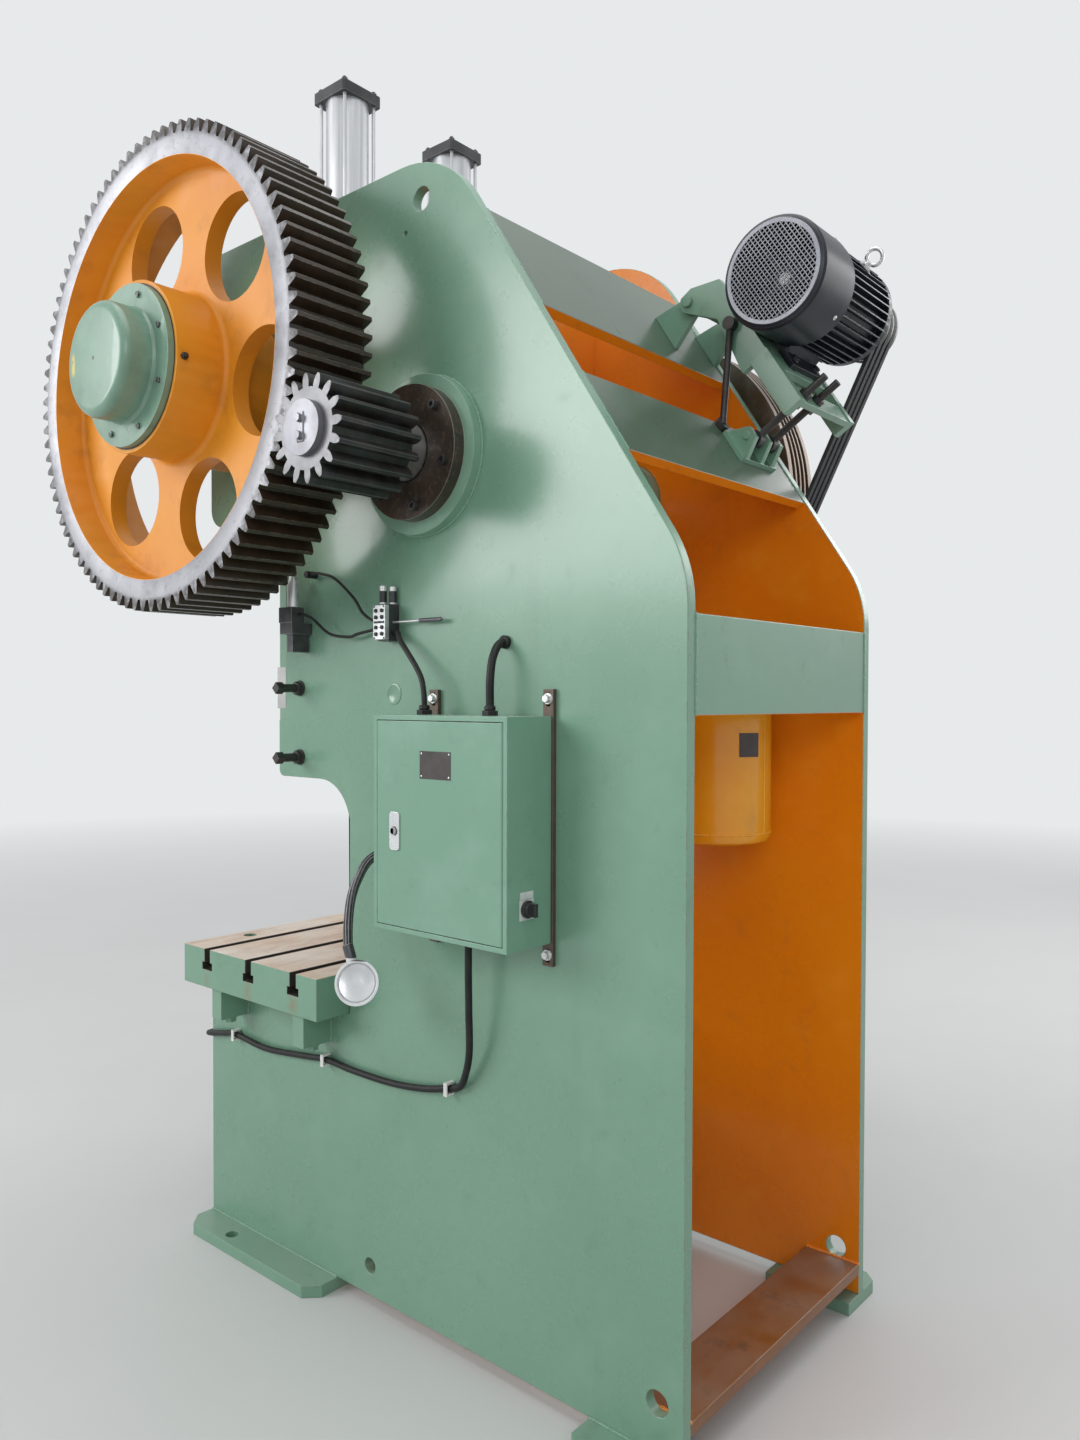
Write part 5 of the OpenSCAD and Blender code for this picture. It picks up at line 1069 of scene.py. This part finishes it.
for y, low, way in ((0.264, 1.092, -1), (0.111, 1.612, 1), (0.333, 1.612, 1)):
    start, up_or_down = Vector((0.512, y, low)), Vector((0, 0, way))
    hexagon = [(0, 0), (0.0195, 0), (0.0195, 0.0105), (0.0180, 0.0120), (0, 0.0120)]
    fittings.turned(start, up_or_down, hexagon, 6)
    ridge = [(0, 0.012), (0.0118, 0.012), (0.0134, 0.0135), (0.0134, 0.0200), (0.0110, 0.0238), (0, 0.0238)]
    fittings.turned(start, up_or_down, ridge, 24)
plate_gland = [(0, 0), (0.016, 0), (0.016, 0.010), (0.0125, 0.014), (0, 0.014)]
fittings.turned((0.450, 0.327, 1.786), (1, 0, 0), plate_gland, 28)
fittings.block((0.354, -0.953, 0.577), (0.386, -0.925, 0.607))
elbow = [(0, 0), (0.010, 0), (0.010, 0.034), (0.0085, 0.036), (0, 0.036)]
fittings.turned((0.450, -0.398, 1.997), (1, 0, 0), elbow, 24)
glands = fittings.piece("glands", hose_rubber, "cable_black", edge=0.0008)
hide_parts("cables")
finished("cable_clips", moulded("clip_white", (0.72, 0.72, 0.69), 0.42, 0.15), 0.0008)

# Air valve and filter. A black valve with a bright front and two small solenoids, a thin
# silencer pipe behind it, and a cast filter unit with a bright bowl on top.
valve_y_low, valve_y_high, valve_top, valve_front = -0.0905, -0.0495, 1.8965, 0.4885
filter_y, filter_top = -0.40, 1.9065


def air_finish(part):
    f = Finish("air_" + part)
    spots, fine = f.noise(26.0, 4.0, 0.6), f.noise(140.0, 3.0)
    bright = f.mix(spots.between(0.35, 0.7), (0.68, 0.69, 0.69), (0.50, 0.51, 0.52))
    cast = f.mix(spots.between(0.35, 0.7), (0.050, 0.051, 0.054), (0.090, 0.091, 0.095))
    dark = f.mix(spots.between(0.35, 0.7), (0.030, 0.031, 0.034), (0.050, 0.051, 0.055))
    at_valve = (f.y > valve_y_low) * (f.y < valve_y_high)
    valve_body = at_valve * (f.z < valve_top) * (f.x < valve_front)
    coil = at_valve * f.z.between(1.900, 1.901) * (1 - f.z.between(1.930, 1.931))
    stub = f.y > valve_y_high
    filter_block = (f.y < filter_y) * (f.z < filter_top)
    colour = f.mix(filter_block, bright, cast)
    colour = f.mix(valve_body, colour, dark)
    colour = f.mix(coil, colour, dark)
    colour = f.mix(stub * f.y.between(0.048, 0.050), colour, (0.10, 0.10, 0.11))
    if part == "edge":
        # Painted highlight: the edges are lightened evenly.
        colour = f.mix(0.2, colour, (0.75, 0.76, 0.76))
    metal = 0.6 - valve_body * 0.5 - filter_block * 0.2
    height = spots * 0.4 + fine * 0.2 + filter_block * f.noise(60.0, 3.0) * 0.5
    return f.surface(colour, 0.28 + spots * 0.15, metal, height, 0.0006)


finished("air_unit", both(air_finish), 0.0008)
ports = Shape()
plate_front, valve_middle = 0.5018, -0.070
port = [(0, 0), (0.0052, 0), (0.0052, 0.0035), (0.0040, 0.0045), (0, 0.0045)]
for z in (1.818, 1.835, 1.861, 1.878):
    for y in (-0.0115, 0.0115):
        ports.turned((plate_front, valve_middle + y, z), (1, 0, 0), port, 18)
strip_low = (plate_front - 0.001, valve_middle - 0.019, 1.8455)
ports.block(strip_low, (plate_front + 0.002, valve_middle + 0.019, 1.8510))
for z in (1.8075, 1.8885):
    for y in (-0.0185, 0.0185):
        ports.rod((plate_front, valve_middle + y, z), (plate_front + 0.0016, valve_middle + y, z), 0.0024, 12)
valve_black = moulded("valve_black", (0.020, 0.020, 0.022), 0.36, 0.1)
ports.piece("valve_ports", valve_black, "motor_black", edge=0.0004)

# Air tank. A welded pressure vessel in glossy yellow-orange, held to the far plate by two
# blocks; a bead of weld runs round at each end and down its rear, beside a blank dark plate.
tank_x, tank_y, tank_low, tank_len, tank_r = -0.262, 0.475, 1.258, 0.540, 0.150
tank_tones = ((0.820, 0.360, 0.012), (0.720, 0.290, 0.008), (0.880, 0.450, 0.050))
tank_paint = paint("tank_paint", tank_tones, None, 0.0010, 0.16, 0.25)
finished("air_tank", tank_paint, 0.0012)


def level_ring(x, y, z, radius, count=72):
    """A closed ring about an upright axis."""
    turns = [2 * math.pi * k / count for k in range(count + 1)]
    return [(x + radius * math.cos(a), y + radius * math.sin(a), z) for a in turns]


seam_radius, seam_inset = tank_r - 0.001, 0.030
seam_heights = (tank_low + seam_inset, tank_low + tank_len - seam_inset)
tank_rings = [level_ring(tank_x, tank_y, height, seam_radius) for height in seam_heights]
seam_y = tank_y + seam_radius
tank_seam = [(tank_x, seam_y, tank_low + 0.034), (tank_x, seam_y, 1.760)]
bead = {"Width": 0.0036, "Pitch": 0.0048, "Seed": 5, "Material": tank_paint[0]}
shown(weld.run("tank_welds", [*tank_rings, tank_seam], **bead))
tank_plate = Shape()
strip_half, strip_thin, strip_tall = 0.0036, 0.0009, 0.032
for turn in range(9):
    facing = math.radians(56 + 2.6 * turn)
    away = Vector((math.cos(facing), math.sin(facing), 0))
    along = Vector((-away.y, away.x, 0))
    middle = Vector((tank_x, tank_y, 1.530)) + away * (tank_r + 0.0006)
    corners = []
    for side in (-1, 1):
        for depth in (-1, 1):
            for rise in (-1, 1):
                corner = middle + along * side * strip_half + away * depth * strip_thin
                corners.append(tank_plate.mesh.verts.new(corner + Vector((0, 0, strip_tall * rise))))
    bmesh.ops.convex_hull(tank_plate.mesh, input=corners)
bmesh.ops.remove_doubles(tank_plate.mesh, verts=tank_plate.mesh.verts, dist=0.0003)
tank_plate.piece("tank_plate", blank_plate, "black_steel", edge=0.0002)

# Work lamp. A pale round head with a bright dish on a thick black gooseneck, whose base sits
# on the near plate. The neck is swept along its route, given in millimetres.
lamp_route = [
    (470, -50, 1255), (502, -62, 1252), (530, -82, 1230), (554, -92, 1188), (574, -94, 1140),
    (592, -84, 1080), (604, -70, 1026),
]
lamp_path = [tuple(value / 1000 for value in point) for point in lamp_route]
neck = hose.run("lamp_neck", [lamp_path], Radius=0.0121, Rib=0.03, Pitch=0.0060, Material=hose_rubber[0])
shown(neck)
head_top = 1.0005


def lamp_finish(part):
    f = Finish("lamp_" + part)
    spots, fine = f.noise(22.0, 4.0, 0.6), f.noise(120.0, 3.0)
    pale = f.mix(spots.between(0.35, 0.7), (0.66, 0.68, 0.68), (0.54, 0.56, 0.57))
    dark = f.mix(spots.between(0.35, 0.7), (0.030, 0.030, 0.033), (0.050, 0.050, 0.054))
    head = f.z < head_top
    colour = f.mix(head, dark, pale)
    if part == "edge":
        # Painted highlight: the edges are lightened evenly.
        colour = f.mix(0.25, colour, (0.80, 0.81, 0.81))
    height = spots * 0.3 + fine * 0.15
    return f.surface(colour, 0.28 + spots * 0.15, 0.0, height, 0.0006, Coat_Weight=0.2)


finished("work_lamp", both(lamp_finish), 0.0008)
lamp_middle = Vector((0.618, -0.012, 0.946))
tilt, swing = math.radians(74), math.radians(34)
lamp_aim = Vector((math.sin(tilt) * math.cos(swing), math.sin(tilt) * math.sin(swing), math.cos(tilt)))
reflector = Shape()
dish = [(0, 0.0120), (0.0080, 0.0136), (0.0120, 0.0125), (0.0300, 0.0132), (0.0450, 0.0160), (0.0452, 0.0100)]
reflector.turned(lamp_middle, lamp_aim, [*dish, (0, 0.0100)], 48)
bright_dish = steel("lamp_dish", (0.72, 0.73, 0.74), (0.40, 0.41, 0.43), 0.22, 0.85, 0.05)
reflector.piece("lamp_reflector", bright_dish, "bright_metal", edge=0.0004)
